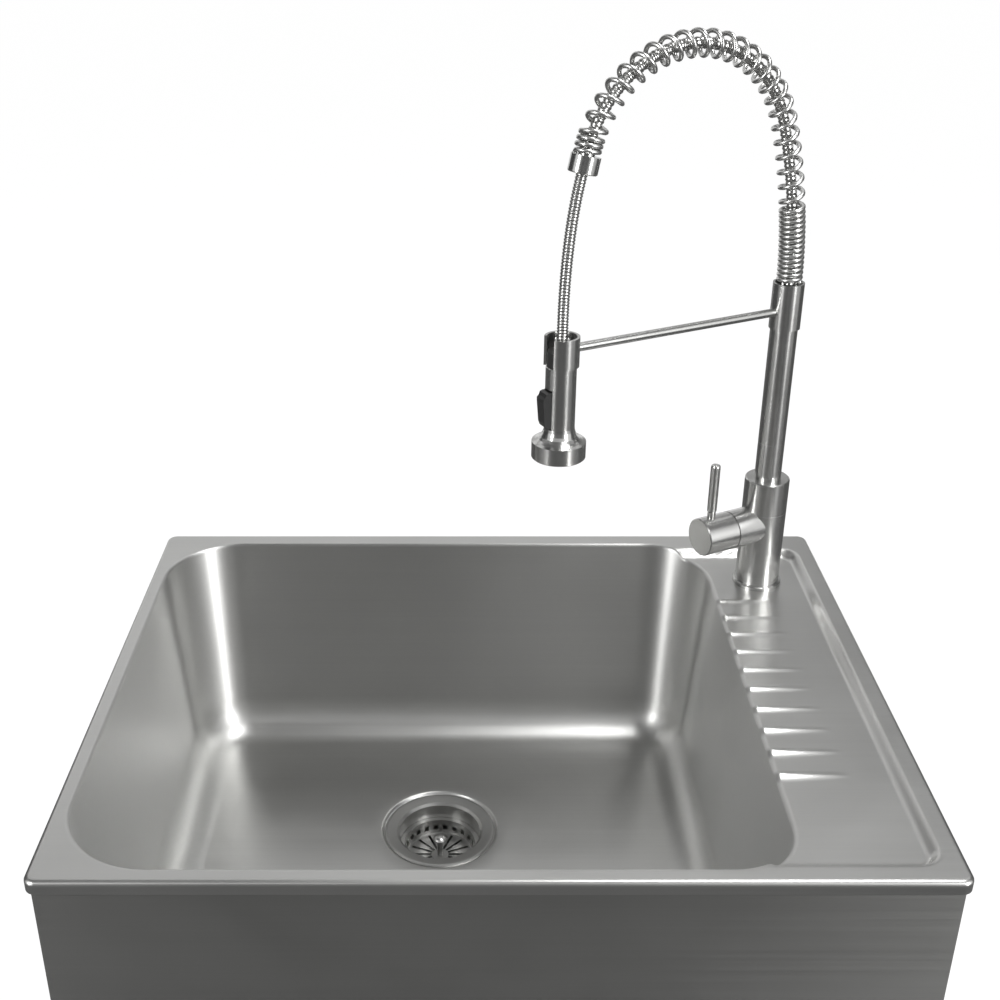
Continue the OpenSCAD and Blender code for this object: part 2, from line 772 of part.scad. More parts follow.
// A door is a folded outer skin closed by a liner
module door_skin(side) {
    x0 = door_gap / 2;
    inner = skin_t;
    color([0.45, 0.45, 0.44]) on_side(side) difference() {
        translate([x0, front_y, door_z0]) cube([door_w, door_t, door_z1 - door_z0]);
        translate([x0 + inner, front_y + inner, door_z0 + inner])
            cube([door_w - 2 * inner, door_t, door_z1 - door_z0 - 2 * inner]);
        for (z = [door_z0, door_z1 - skin_t])
            translate([hinge_x, hinge_y, z - eps]) cylinder(d = bush_d, h = skin_t + 2 * eps);
        handle_screw_holes(front_y + skin_t);
    }
}
module door_skin_left() door_skin(-1);
module door_skin_right() door_skin(1);

module at_posts() for (z = [-1, 1]) translate([handle_x, 0, handle_z + z * post_span / 2]) children();

module handle_screw_holes(y1) {
    at_posts() translate([0, y1 + eps, 0]) rotate([90, 0, 0])
        cylinder(d = screw_d, h = skin_t + 2 * eps);
}

module door_liner(side) {
    y1 = front_y + door_t;
    color([0.55, 0.55, 0.54]) on_side(side) difference() {
        translate([door_gap / 2 + skin_t, y1 - skin_t, door_z0 + skin_t])
            cube([door_w - 2 * skin_t, skin_t, door_z1 - door_z0 - 2 * skin_t]);
        handle_screw_holes(y1);
    }
}
module door_liner_left() door_liner(-1);
module door_liner_right() door_liner(1);

module door_handle(side) {
    bar_y = front_y - handle_reach + bar_d / 2;
    color([0.62, 0.62, 0.61]) on_side(side) difference() {
        union() {
            translate([handle_x, bar_y, handle_z - bar_len / 2]) cylinder(d = bar_d, h = bar_len);
            at_posts() translate([0, front_y, 0]) rotate([90, 0, 0])
                cylinder(d = post_d, h = handle_reach - bar_d / 2);
        }
        at_posts() translate([0, front_y + eps, 0]) rotate([90, 0, 0])
            cylinder(d = screw_d, h = screw_grip + eps);
    }
}
module door_handle_left() door_handle(-1);
module door_handle_right() door_handle(1);

// The handle screws go through liner and skin into the posts
screw_grip = 9;
module handle_screws(side) {
    head_h = 2.2;
    color([0.7, 0.7, 0.7]) on_side(side) at_posts() translate([0, front_y + door_t, 0]) rotate([90, 0, 0]) {
        cylinder(d = screw_d, h = door_t + screw_grip);
        translate([0, 0, -head_h]) cylinder(d1 = 1.4 * screw_d, d2 = 2.1 * screw_d, h = head_h);
    }
}
module handle_screws_left() handle_screws(-1);
module handle_screws_right() handle_screws(1);

// Plastic bushes with a flange inside the skin's folded edges
module hinge_bushes(side) {
    flange = 0.9;
    len = pin_reach + 2;
    color([0.15, 0.15, 0.15]) on_side(side) translate([hinge_x, hinge_y, 0]) {
        tube(bush_d, pin_d + 2 * fit_gap, door_z0, door_z0 + len);
        tube(bush_d + 2 * flange, pin_d + 2 * fit_gap, door_z0 + skin_t, door_z0 + skin_t + 1.5);
        tube(bush_d, pin_d + 2 * fit_gap, door_z1 - len, door_z1);
        tube(bush_d + 2 * flange, pin_d + 2 * fit_gap, door_z1 - skin_t - 1.5, door_z1 - skin_t);
    }
}
module hinge_bushes_left() hinge_bushes(-1);
module hinge_bushes_right() hinge_bushes(1);

// A steel plate on the liner that the magnet holds
module strike_plate(side) {
    plate_h = 12;
    color([0.75, 0.75, 0.75]) on_side(side)
        translate([catch_x - catch_w / 2, front_y + door_t, door_z1 - skin_t - plate_h])
            cube([catch_w, strike_t, plate_h]);
}
module strike_plate_left() strike_plate(-1);
module strike_plate_right() strike_plate(1);

// One level of the bowl's space: its four corners drawn in by inset
module bowl_level(inset, z) {
    for (c = bowl_corners)
        translate([c[0], c[1], z]) cylinder(r = max(c[2] - inset, 2), h = eps, $fn = 48);
}

// The bowl's space, or its outside where grow is the sheet's thickness
module bowl_shape(grow, top) {
    hull() {
        bowl_level(-grow, top);
        for (k = [0:cove_steps])
            let (a = 90 * k / cove_steps)
                bowl_level(bowl_draft + bowl_cove - (bowl_cove + grow) * cos(a),
                    bowl_cove - bowl_depth - (bowl_cove + grow) * sin(a));
    }
}

module tray_level(inset, z) {
    for (x = [tray_x0 + tray_r, tray_x1 - tray_r]) for (y = [tray_y0 + tray_r, tray_y1 - tray_r])
        translate([x, y, z]) cylinder(r = max(tray_r - inset, 1), h = eps, $fn = 48);
}
module tray_shape(grow, top) {
    hull() {
        tray_level(-grow, top);
        tray_level(tray_slope - grow, -tray_drop - grow);
    }
}

// A rib is the upper cap of a long cone that runs out on the tray
module tray_ribs() {
    rib_r = (rib_w * rib_w / 4 + rib_h * rib_h) / (2 * rib_h);
    last_y = rim_d / 2 - rib_back;
    overlap = 20;
    intersection() {
        for (k = [0:rib_count - 1])
            translate([bowl_x1 - overlap, last_y - k * rib_pitch, -tray_drop + rib_h - rib_r])
                rotate([0, 90 + atan(rib_h / (rib_len + overlap)), 0])
                    cylinder(r = rib_r, h = rib_len + overlap);
        translate([bowl_x1 - overlap, -rim_d / 2, -tray_drop - sink_t])
            cube([rib_len + overlap, rim_d, sink_t + rib_h]);
    }
}

// The deck: rim, lip and tray pressed from one sheet, with the bowl's mouth cut out
module sink_deck() {
    color([0.46, 0.46, 0.45]) at_rim() difference() {
        union() {
            difference() {
                union() {
                    translate([0, 0, -sink_t]) linear_extrude(sink_t) rounded(rim_w, rim_d, rim_r);
                    translate([0, 0, -lip_h]) linear_extrude(lip_h) difference() {
                        rounded(rim_w, rim_d, rim_r);
                        rounded(rim_w - 2 * sink_t, rim_d - 2 * sink_t, rim_r - sink_t);
                    }
                    tray_shape(sink_t, -eps);
                }
                tray_shape(0, eps);
            }
            tray_ribs();
        }
        bowl_shape(0, eps);
        translate([faucet_x, faucet_y, -tray_drop - 2 * sink_t]) cylinder(d = deck_hole_d, h = 4 * sink_t);
    }
}

// The drawn bowl, welded up to the underside of the deck
module bowl() {
    color([0.46, 0.46, 0.45]) at_rim() difference() {
        union() {
            bowl_shape(sink_t, -sink_t - eps);
            translate([drain_x, drain_y, seat_z - sink_t])
                cylinder(d = seat_d + 2 * sink_t, h = seat_depth + sink_t);
        }
        tray_shape(sink_t, 0);
        bowl_shape(0, eps);
        translate([drain_x, drain_y, seat_z]) cylinder(d = seat_d, h = seat_depth + 1);
        translate([drain_x, drain_y, seat_z - 2 * sink_t]) cylinder(d = drain_hole_d, h = 4 * sink_t);
    }
}

// Rubber sheet stuck under the bowl's floor, open around the strainer
module sound_pad() {
    pad_t = 3;
    margin = bowl_draft + bowl_cove + 12;
    color([0.12, 0.12, 0.12]) at_rim() difference() {
        translate([bowl_x0 + margin, bowl_y0 + margin, -bowl_depth - sink_t - pad_t])
            cube([bowl_w - 2 * margin, bowl_y1 - bowl_y0 - 2 * margin, pad_t]);
        translate([drain_x, drain_y, -bowl_depth - sink_t - pad_t - eps])
            cylinder(d = seat_d + 2 * sink_t + 10, h = pad_t + 2 * eps);
    }
}

module at_drain(z) at_rim() translate([drain_x, drain_y, z]) children();

// Flange, dished throat, ledge, cup and threaded outlet in one turned shape
module strainer_body() {
    cup_r = cup_d / 2;
    low_r = cup_r - ledge_w;
    throat_r = flange_d / 2 - 3;
    slope = 6;
    color([0.6, 0.6, 0.59]) at_drain(seat_z) rotate_extrude() polygon([
        [cup_r + cup_t, -2.5], [drain_hole_d / 2 - seat_gap, 0], [flange_d / 2, 0],
        [flange_d / 2, flange_t / 2], [flange_d / 2 - 1.2, flange_t], [throat_r, flange_t],
        [cup_r + 2.5, flange_t - 1.2], [cup_r, -1.5],
        [cup_r, -ledge_z], [low_r, -ledge_z], [low_r, slope - cup_depth],
        [outlet_bore / 2, -cup_depth], [outlet_bore / 2, -cup_depth - outlet_len],
        [outlet_d / 2, -cup_depth - outlet_len], [outlet_d / 2, -cup_depth - cup_t],
        [low_r + cup_t, slope - cup_depth - cup_t], [low_r + cup_t, -ledge_z - cup_t - locknut_h],
        [cup_r + cup_t, -ledge_z - cup_t - locknut_h]
    ]);
}

module strainer_gasket() {
    top = seat_z - sink_t;
    color([0.1, 0.1, 0.1]) at_drain(0)
        tube(flange_d - 2, drain_hole_d + 2 * fixed_gap, top - gasket_t, top);
}

module strainer_locknut() {
    top = seat_z - sink_t - gasket_t;
    thread_d = cup_d + 2 * cup_t;
    nut_d = thread_d + 18;
    lug_w = 8;
    lug_out = 3;
    color([0.7, 0.68, 0.6]) at_drain(0) difference() {
        union() {
            translate([0, 0, top - locknut_h]) cylinder(d = nut_d, h = locknut_h);
            for (k = [0:5]) rotate([0, 0, 60 * k])
                translate([nut_d / 2 - lug_out, -lug_w / 2, top - locknut_h])
                    cube([2 * lug_out, lug_w, locknut_h]);
        }
        translate([0, 0, top - locknut_h - eps])
            cylinder(d = thread_d + 2 * thread_gap, h = locknut_h + 2 * eps);
    }
}

// A rim that lies on the ledge, a wall with holes, and a floor with slots
module basket() {
    knob_post_d = 6;
    slot_r0 = 9;
    wall_r = basket_d / 2;
    foot_r = wall_r - 2;
    slot_r1 = foot_r - 4;
    slot_w = 2.6;
    hole_w = 5;
    color([0.62, 0.62, 0.61]) at_drain(0) difference() {
        union() {
            rotate_extrude() polygon([
                [0, basket_floor], [foot_r, basket_floor], [wall_r, ledge_top],
                [basket_rim_d / 2, ledge_top], [basket_rim_d / 2, ledge_top + basket_t],
                [wall_r - basket_t, ledge_top + basket_t], [foot_r - basket_t, basket_floor + basket_t],
                [0, basket_floor + basket_t]
            ]);
            translate([0, 0, seal_z + seal_h])
                cylinder(d = knob_post_d, h = basket_floor + knob_stand - seal_z - seal_h);
        }
        for (k = [0:slot_count - 1]) rotate([0, 0, 360 * k / slot_count])
            translate([slot_r0, -slot_w / 2, basket_floor - eps])
                cube([slot_r1 - slot_r0, slot_w, basket_t + 2 * eps]);
        for (k = [0:basket_holes - 1]) rotate([0, 0, 360 * k / basket_holes])
            translate([wall_r - 5 * basket_t, -hole_w / 2, basket_floor + (basket_depth - hole_w) / 2])
                cube([7 * basket_t, hole_w, hole_w]);
    }
}
module basket_knob() {
    edge = 2.5;
    color([0.66, 0.66, 0.65]) at_drain(basket_floor + knob_stand) rotate_extrude() polygon([
        [0, 0], [knob_d / 2 - 2, 0], [knob_d / 2, 1], [knob_d / 2, edge],
        [knob_d / 2 - 1.5, edge + 1.6], [knob_d / 4, edge + 2.6], [0, edge + 3]
    ]);
}

// Rubber plug at the end of the basket's post
module basket_seal() {
    color([0.08, 0.08, 0.08]) at_drain(seal_z)
        cylinder(d1 = outlet_d - 8, d2 = outlet_d, h = seal_h);
}

module tailpiece() {
    color([0.7, 0.7, 0.7]) at_drain(0) {
        tube(outlet_d - 2 * pipe_play, pipe_bore, outlet_end - pipe_t, outlet_end);
        tube(pipe_d, pipe_bore, tail_end, outlet_end - pipe_t);
    }
}

// A slip nut grips a socket and closes on the pipe above or below it
module slip_nut(inner_d, flip) {
    nut_h = 16;
    nut_t = 4;
    lip = 3;
    play = 0.15;
    mirror([0, 0, flip ? 1 : 0]) difference() {
        union() {
            cylinder(d = inner_d + 2 * nut_t, h = nut_h);
            cylinder(d = inner_d + 2 * nut_t + 4, h = nut_h - 5, $fn = 8);
        }
        translate([0, 0, -eps]) cylinder(d = inner_d + 2 * play, h = nut_h - lip + eps);
        translate([0, 0, -eps]) cylinder(d = pipe_d + 2 * play, h = nut_h + 2 * eps);
    }
}

module slip_nuts() {
    body_h = 13;
    color([0.75, 0.75, 0.73]) at_drain(0) {
        translate([0, 0, outlet_end + body_h - pipe_t]) slip_nut(outlet_d, true);
        translate([0, 0, tail_end + socket_len - body_h]) slip_nut(socket_d, false);
        translate([0, 2 * trap_r, arm_foot_z + socket_len - body_h]) slip_nut(socket_d, false);
    }
}

// A quarter or half turn of pipe in the plane x = 0
module pipe_bend(r, angle) {
    rotate([90, 0, 90]) rotate_extrude(angle = angle) translate([r, 0]) difference() {
        circle(d = pipe_d);
        circle(d = pipe_bore);
    }
}

module trap_bend() {
    shoulder = 3;
    color([0.72, 0.72, 0.72]) at_drain(0) {
        for (end = [[0, tail_end], [2 * trap_r, arm_foot_z]]) translate([0, end[0], end[1]]) {
            tube(socket_d, socket_bore, 0, socket_len);
            tube(socket_d, pipe_bore, -shoulder, 0);
            tube(pipe_d, pipe_bore, tail_end - trap_leg - end[1], -shoulder);
        }
        translate([0, trap_r, tail_end - trap_leg]) rotate([180, 0, 0]) pipe_bend(trap_r, 180);
    }
}

module trap_arm() {
    color([0.72, 0.72, 0.72]) at_drain(0) translate([0, 2 * trap_r, 0]) {
        tube(pipe_d, pipe_bore, arm_foot_z, arm_foot_z + elbow_foot);
        translate([0, elbow_r, arm_foot_z + elbow_foot]) rotate([90, 0, 0]) pipe_bend(elbow_r, 90);
        translate([0, elbow_r, waste_z]) rotate([-90, 0, 0])
            tube(pipe_d, pipe_bore, 0, waste_end_y - drain_y - 2 * trap_r - elbow_r);
    }
}

module base_ring() {
    color([0.6, 0.6, 0.59]) at_faucet() difference() {
        union() {
            cylinder(d = base_d, h = base_h - 1);
            translate([0, 0, base_h - 1]) cylinder(d1 = base_d, d2 = base_d - 2, h = 1);
        }
        translate([0, 0, -eps]) cylinder(d = shank_d + 2 * seat_gap, h = base_h + 2 * eps);
    }
}

// The body takes the shank from below, the riser from above and the cartridge
// from its branch; one chamber joins them
shank_thread = 14;
chamber_d = 18;
port_d = 9;
// Depth of the branch's bore, and the length of the cartridge at its bottom
cartridge_len = 20.5;
cartridge_body = 11;
module faucet_body() {
    bevel = 1;
    cartridge_z = branch_reach - cartridge_len;
    color([0.62, 0.62, 0.61]) at_faucet() difference() {
        union() {
            translate([0, 0, base_h]) cylinder(d = body_d, h = body_top - base_h - bevel);
            translate([0, 0, body_top - bevel]) cylinder(d1 = body_d, d2 = body_d - 2 * bevel, h = bevel);
            translate([0, 0, branch_z]) rotate([0, 90, 0]) cylinder(d = branch_d, h = branch_reach);
        }
        translate([0, 0, base_h - eps]) cylinder(d = shank_d + 2 * fixed_gap, h = shank_thread + eps);
        translate([0, 0, base_h]) cylinder(d = chamber_d, h = body_top - base_h);
        translate([0, 0, body_top - riser_sink]) cylinder(d = riser_bore, h = riser_sink + eps);
        translate([cartridge_z, 0, branch_z]) rotate([0, 90, 0])
            cylinder(d = branch_bore, h = cartridge_len + eps);
        translate([0, 0, branch_z]) rotate([0, 90, 0]) cylinder(d = port_d, h = branch_reach);
    }
}

module faucet_shank() {
    color([0.7, 0.62, 0.4]) at_faucet() difference() {
        translate([0, 0, -shank_len]) cylinder(d = shank_d, h = shank_len + base_h + shank_thread);
        for (y = [-1, 1]) translate([0, y * inlet_span / 2, -shank_len - eps])
            cylinder(d = inlet_d, h = shank_len + base_h + shank_thread + 2 * eps);
    }
}

// Washer and nut under the tray
module mounting_nut() {
    washer_t = 2.5;
    nut_h = 12;
    top = -sink_t;
    color([0.7, 0.62, 0.4]) at_faucet() {
        tube(shank_d + 24, shank_d + 2 * thread_gap, top - washer_t, top);
        difference() {
            translate([0, 0, top - washer_t - nut_h]) cylinder(d = shank_d + 14, h = nut_h, $fn = 6);
            translate([0, 0, top - washer_t - nut_h - eps])
                cylinder(d = shank_d + 2 * thread_gap, h = nut_h + 2 * eps);
        }
    }
}

// Places a shape on the branch's axis, which becomes its z axis
module on_branch(reach) at_faucet() translate([reach, 0, branch_z]) rotate([0, 90, 0]) children();

module cartridge() {
    color([0.85, 0.85, 0.85]) on_branch(branch_reach - cartridge_len)
        tube(branch_bore, port_d, 0, cartridge_body);
}

// It turns in the branch with the handle, and leaves the stem room to tilt
module stem_carrier() {
    z0 = cartridge_body - cartridge_len + seat_gap;
    wall = 3.5;
    below = 0.5;
    color([0.7, 0.62, 0.4]) on_branch(branch_reach)
        tube(branch_bore - 2 * fit_gap, branch_bore - 2 * wall, z0, -below);
}

stem_d = 10;
stem_back = 6.5;
cap_hollow = 14;
stem_grip = 6;
module handle_stem() {
    color([0.7, 0.62, 0.4]) on_branch(branch_reach - stem_back)
        cylinder(d = stem_d, h = stem_back + seam + cap_hollow + stem_grip);
}

module handle_cap() {
    bevel = 1;
    wall = 4;
    color([0.62, 0.62, 0.61]) on_branch(cap_start) difference() {
        union() {
            cylinder(d = branch_d, h = cap_len - bevel);
            translate([0, 0, cap_len - bevel]) cylinder(d1 = branch_d, d2 = branch_d - 2 * bevel, h = bevel);
        }
        translate([0, 0, -eps]) cylinder(d = branch_d - 2 * wall, h = cap_hollow + eps);
        translate([0, 0, cap_hollow - eps]) cylinder(d = stem_d + 2 * fixed_gap, h = stem_grip + eps);
        translate([lever_sink - branch_d / 2, 0, cap_len - lever_in]) rotate([0, -90, 0])
            cylinder(d = lever_root_d + 2 * fixed_gap, h = branch_d);
    }
}
lever_root_d = lever_d - 1.4;
lever_sink = 9;

// The lever stands on the cap, a little thinner at its root
module handle_lever() {
    sink = lever_sink - 2 * fixed_gap;
    root = 7;
    r = lever_d / 2;
    color([0.62, 0.62, 0.61]) at_faucet() translate([lever_x, 0, branch_z + branch_d / 2])
        rotate_extrude() polygon([
            [0, -sink], [lever_root_d / 2, -sink], [lever_root_d / 2, root], [r, root + 1.5],
            [r, lever_h - 2], [r - 0.6, lever_h - 0.6], [r - 2, lever_h], [0, lever_h]
        ]);
}

module riser_tube() {
    color([0.6, 0.6, 0.59]) at_faucet()
        tube(riser_d, riser_d - 2 * riser_t, body_top - riser_sink + seat_gap, collar_z + collar_socket);
}

module riser_collar() {
    waterway = 8;
    color([0.62, 0.62, 0.61]) at_faucet() difference() {
        translate([0, 0, collar_z]) cylinder(d = collar_d, h = collar_h);
        translate([0, 0, collar_z - eps]) cylinder(d = riser_d + 2 * fixed_gap, h = collar_socket + eps);
        translate([0, 0, collar_z]) cylinder(d = waterway, h = collar_h);
        translate([0, 0, hose_seat]) cylinder(d = hose_hole_d, h = collar_top - hose_seat);
        translate([0, 0, spring_seat]) cylinder(d = spring_socket_d, h = collar_socket + eps);
        translate([collar_d / 2 - arm_sink, 0, arm_z]) rotate([0, 90, 0])
            cylinder(d = arm_d + 2 * fixed_gap, h = collar_d);
    }
}
// How deep the arm reaches into the collar and into the holder's wall
arm_sink = 5;
arm_seat = 1.6;

module support_arm() {
    x0 = collar_d / 2 - arm_sink;
    x1 = arm_reach - holder_d / 2 + arm_seat;
    color([0.62, 0.62, 0.61]) at_faucet() translate([x0, 0, arm_z]) rotate([0, 90, 0])
        cylinder(d = arm_d, h = x1 - x0);
}

// A ring with a slot in its outer side, through which the hose comes out
module spray_holder() {
    far = holder_d;
    color([0.62, 0.62, 0.61]) at_faucet() translate([arm_reach, 0, 0]) difference() {
        tube(holder_d, holder_d - 2 * holder_t, holder_z, holder_top);
        translate([0, 0, holder_z - 1]) linear_extrude(holder_h + 2)
            polygon([[0, 0], [far, -far * tan(holder_slot)], [far, far * tan(holder_slot)]]);
        translate([-holder_d, 0, arm_z]) rotate([0, 90, 0])
            cylinder(d = arm_d + 2 * fixed_gap, h = holder_d / 2 + arm_seat + 2 * fixed_gap);
    }
}

module spring() {
    sides = 6;
    count = len(spring_path);
    last = (count - 1) * sides;
    points = [for (i = [0:count - 1])
        each ring(spring_path[i], wire_dir(i), spring_out[i], wire_d / 2, sides)];
    color([0.66, 0.66, 0.65]) at_faucet() polyhedron(points, concat(
        tube_faces(0, count, sides, false),
        [for (k = [1:sides - 2]) [0, k, k + 1]],
        [for (k = [1:sides - 2]) [last, last + k + 1, last + k]]
    ));
}
// At its two ends the wire points straight along the middle line
function wire_dir(i) =
    i < 2 ? arch_along(0) :
    i > len(spring_path) - 3 ? arch_along(arch_len) :
    let (t = along(spring_path, i)) unit(t - (t * spring_out[i]) * spring_out[i]);

// A ribbed hose with its bore: crest and groove rings outside, plain rings inside
module ribbed_hose(outer, outer_dir, inner, inner_dir, ribs) {
    sides = 8;
    crest = hose_d / 2;
    n = len(outer);
    m = len(inner);
    side = [0, 1, 0];
    radius = function(i) i == 0 || i == n - 1 || i % 2 == 1 ? crest : crest - hose_groove;
    points = concat(
        [for (i = [0:n - 1]) each ring(outer[i], outer_dir[i], side, radius(i), sides)],
        [for (i = [0:m - 1]) each ring(inner[i], inner_dir[i], side, hose_bore / 2, sides)]
    );
    o_last = (n - 1) * sides;
    i_first = n * sides;
    i_last = (n + m - 1) * sides;
    polyhedron(points, concat(
        tube_faces(0, n, sides, false),
        tube_faces(i_first, m, sides, true),
        [for (k = [0:sides - 1]) let (b = (k + 1) % sides)
            each [[k, b, i_first + b], [k, i_first + b, i_first + k]]],
        [for (k = [0:sides - 1]) let (b = (k + 1) % sides)
            each [[o_last + k, i_last + b, o_last + b], [o_last + k, i_last + k, i_last + b]]]
    ));
}

// Ring positions: half a rib from ring to ring outside, about one diameter inside
function hose_stations(length, ribs) = [for (i = [0:2 * ribs]) length * i / (2 * ribs)];
function bore_stations(length) =
    let (n = ceil(length / hose_d)) [for (i = [0:n]) length * i / n];
function hose_dir(path, i, first, final) =
    i == 0 ? first : i == len(path) - 1 ? final : along(path, i);

arch_outer = [for (s = hose_stations(inner_len, arch_ribs)) inner_on(s)];
arch_inner = [for (s = bore_stations(inner_len)) inner_on(s)];
drop_outer = [for (s = hose_stations(drop_len, drop_ribs)) drop_on(s)];
drop_inner = [for (s = bore_stations(drop_len)) drop_on(s)];
echo(arch_hose_gap = least_gap(arch_inner, hose_d, 5), drop_hose_gap = least_gap(drop_inner, hose_d, 3));

module hose_between(outer, inner, first, final, ribs) {
    ribbed_hose(
        outer, [for (i = [0:len(outer) - 1]) hose_dir(outer, i, first, final)],
        inner, [for (i = [0:len(inner) - 1]) hose_dir(inner, i, first, final)],
        ribs
    );
}

module hose_arch() {
    color([0.55, 0.55, 0.54]) at_faucet()
        hose_between(arch_outer, arch_inner, arch_along(0), arch_along(arch_len), arch_ribs);
}

module hose_drop() {
    color([0.55, 0.55, 0.54]) at_faucet()
        hose_between(drop_outer, drop_inner, arch_along(arch_len), [0, 0, -1], drop_ribs);
}

// The spring's last turn lies round a spigot on the ferrule, and its end stands in a hole
// there; the ferrule's axis follows the hose
module spring_ferrule() {
    foot = arch_on(arc_len + ferrule_len);
    bevel = 1;
    spigot_h = 6;
    spigot_play = 1;
    color([0.62, 0.62, 0.61]) at_faucet() translate(foot) rotate([0, -arch_end, 0])
        difference() {
            union() {
                cylinder(d1 = ferrule_d - 2 * bevel, d2 = ferrule_d, h = bevel);
                translate([0, 0, bevel]) cylinder(d = ferrule_d, h = ferrule_len - bevel);
                cylinder(d = coil_d - 2 * (wire_d + spigot_play), h = ferrule_len + spigot_h);
            }
            translate([0, 0, -eps]) cylinder(d = hose_hole_d, h = ferrule_len + spigot_h + 2 * eps);
            translate([coil_r * cos(bend_turn), -coil_r * sin(bend_turn), ferrule_len])
                translate([0, 0, -spring_foot - fixed_gap])
                cylinder(d = wire_d + 2 * fixed_gap, h = 2 * spring_foot);
        }
}

module at_spray() at_faucet() translate([arm_reach, 0, 0]) children();

// The trigger's opening in the barrel is longer and wider than the trigger
module trigger_opening() {
    play = 1.5;
    translate([trigger_x - 3, -trigger_w / 2 - 0.5, trigger_z - trigger_len / 2 - play])
        cube([spray_d, trigger_w + 1, trigger_len + 2 * play]);
}

// The spray's turned body, and above its neck the nut on the hose's end
module spray_body() {
    r = spray_d / 2;
    bell = bell_d / 2;
    bore = barrel_bore / 2;
    roof = bell_top - 4;
    edge = 0.8;
    flare_turn = 72;
    flare_step = 12;
    color([0.62, 0.62, 0.61]) at_spray() tube(hose_nut_d, hose_bore, neck_top, hose_end_z);
    color([0.62, 0.62, 0.61]) at_spray() difference() {
        rotate_extrude() polygon([
            [bore, barrel_top], [r - 0.6, barrel_top], [r, barrel_top - 0.6],
            each [for (a = [0:flare_step:flare_turn]) [
                r + (bell - r) * (1 - cos(a)) / (1 - cos(flare_turn)),
                barrel_z - flare_h * sin(a) / sin(flare_turn)
            ]],
            [bell, bell_z + edge], [bell - edge, bell_z], [bell - bell_t, bell_z],
            [bell - bell_t, roof - 2], [bore, roof + 6]
        ]);
        trigger_opening();
        translate([trigger_x, 0, trigger_z]) rotate([90, 0, 0])
            cylinder(d = trigger_pin_d, h = trigger_w + 2 * pin_out, center = true);
    }
}

// The black neck sits in the holder's ring and plugs into the barrel
module spray_neck() {
    color([0.08, 0.08, 0.08]) at_spray() {
        tube(neck_d, hose_bore, barrel_top, neck_top);
        tube(barrel_bore - 2 * thread_gap, hose_bore, barrel_top - plug_len, barrel_top);
    }
}

module spray_face() {
    face_t = 5;
    inset = 1;
    nub_d = 2.4;
    color([0.25, 0.25, 0.25]) at_spray() {
        translate([0, 0, bell_z + inset]) cylinder(d = spray_face_d - 2 * thread_gap, h = face_t);
        for (row = [1:4]) for (k = [0:6 * row - 1]) rotate([0, 0, 60 * k / row])
            translate([4.4 * row, 0, bell_z + inset - 0.8]) cylinder(d1 = nub_d - 0.8, d2 = nub_d, h = 1);
    }
}

// A rocking trigger on a cross pin: thumb pad outside, tail inside the barrel
module spray_trigger() {
    r = spray_d / 2;
    half = trigger_len / 2;
    color([0.08, 0.08, 0.08]) at_spray() translate([0, 0, trigger_z]) {
        translate([0, trigger_w / 2, 0]) rotate([90, 0, 0]) linear_extrude(trigger_w) polygon([
            [trigger_x - 2, -half], [r + 1.5, -half], [r + trigger_out - 3.5, -half + 2],
            [r + trigger_out - 2, -half + 6], [r + trigger_out, half - 9], [r + trigger_out, half - 6],
            [r + trigger_out - 2, half - 4], [r + trigger_out - 3, half - 1], [r + 1, half],
            [trigger_x - 2, half]
        ]);
        translate([trigger_x, 0, 0]) rotate([90, 0, 0])
            cylinder(d = trigger_pin_d - 2 * fixed_gap, h = trigger_w + 2 * pin_out - 0.4, center = true);
    }
}

side_panel_left();
side_panel_right();
back_panel();
cabinet_floor();
apron();
bottom_rail();
brackets();
hinge_pins();
magnet_catches();
back_screws();
foot_front_left();
foot_front_right();
foot_back_left();
foot_back_right();
door_skin_left();
door_liner_left();
door_handle_left();
handle_screws_left();
hinge_bushes_left();
strike_plate_left();
door_skin_right();
door_liner_right();
door_handle_right();
handle_screws_right();
hinge_bushes_right();
strike_plate_right();
sink_deck();
bowl();
sound_pad();
strainer_body();
strainer_gasket();
strainer_locknut();
basket();
basket_knob();
basket_seal();
tailpiece();
slip_nuts();
trap_bend();
trap_arm();
base_ring();
faucet_body();
faucet_shank();
mounting_nut();
cartridge();
stem_carrier();
handle_stem();
handle_cap();
handle_lever();
riser_tube();
riser_collar();
support_arm();
spray_holder();
spring();
hose_arch();
spring_ferrule();
hose_drop();
spray_body();
spray_neck();
spray_face();
spray_trigger();
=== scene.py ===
# %% [markdown]
# A free-standing steel sink cabinet with a spring faucet.
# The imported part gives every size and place. This script dresses it: it gives each
# solid a finish, and models again the few pieces whose form needs softer surfaces
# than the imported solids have, above all the pressed sink and the spring.

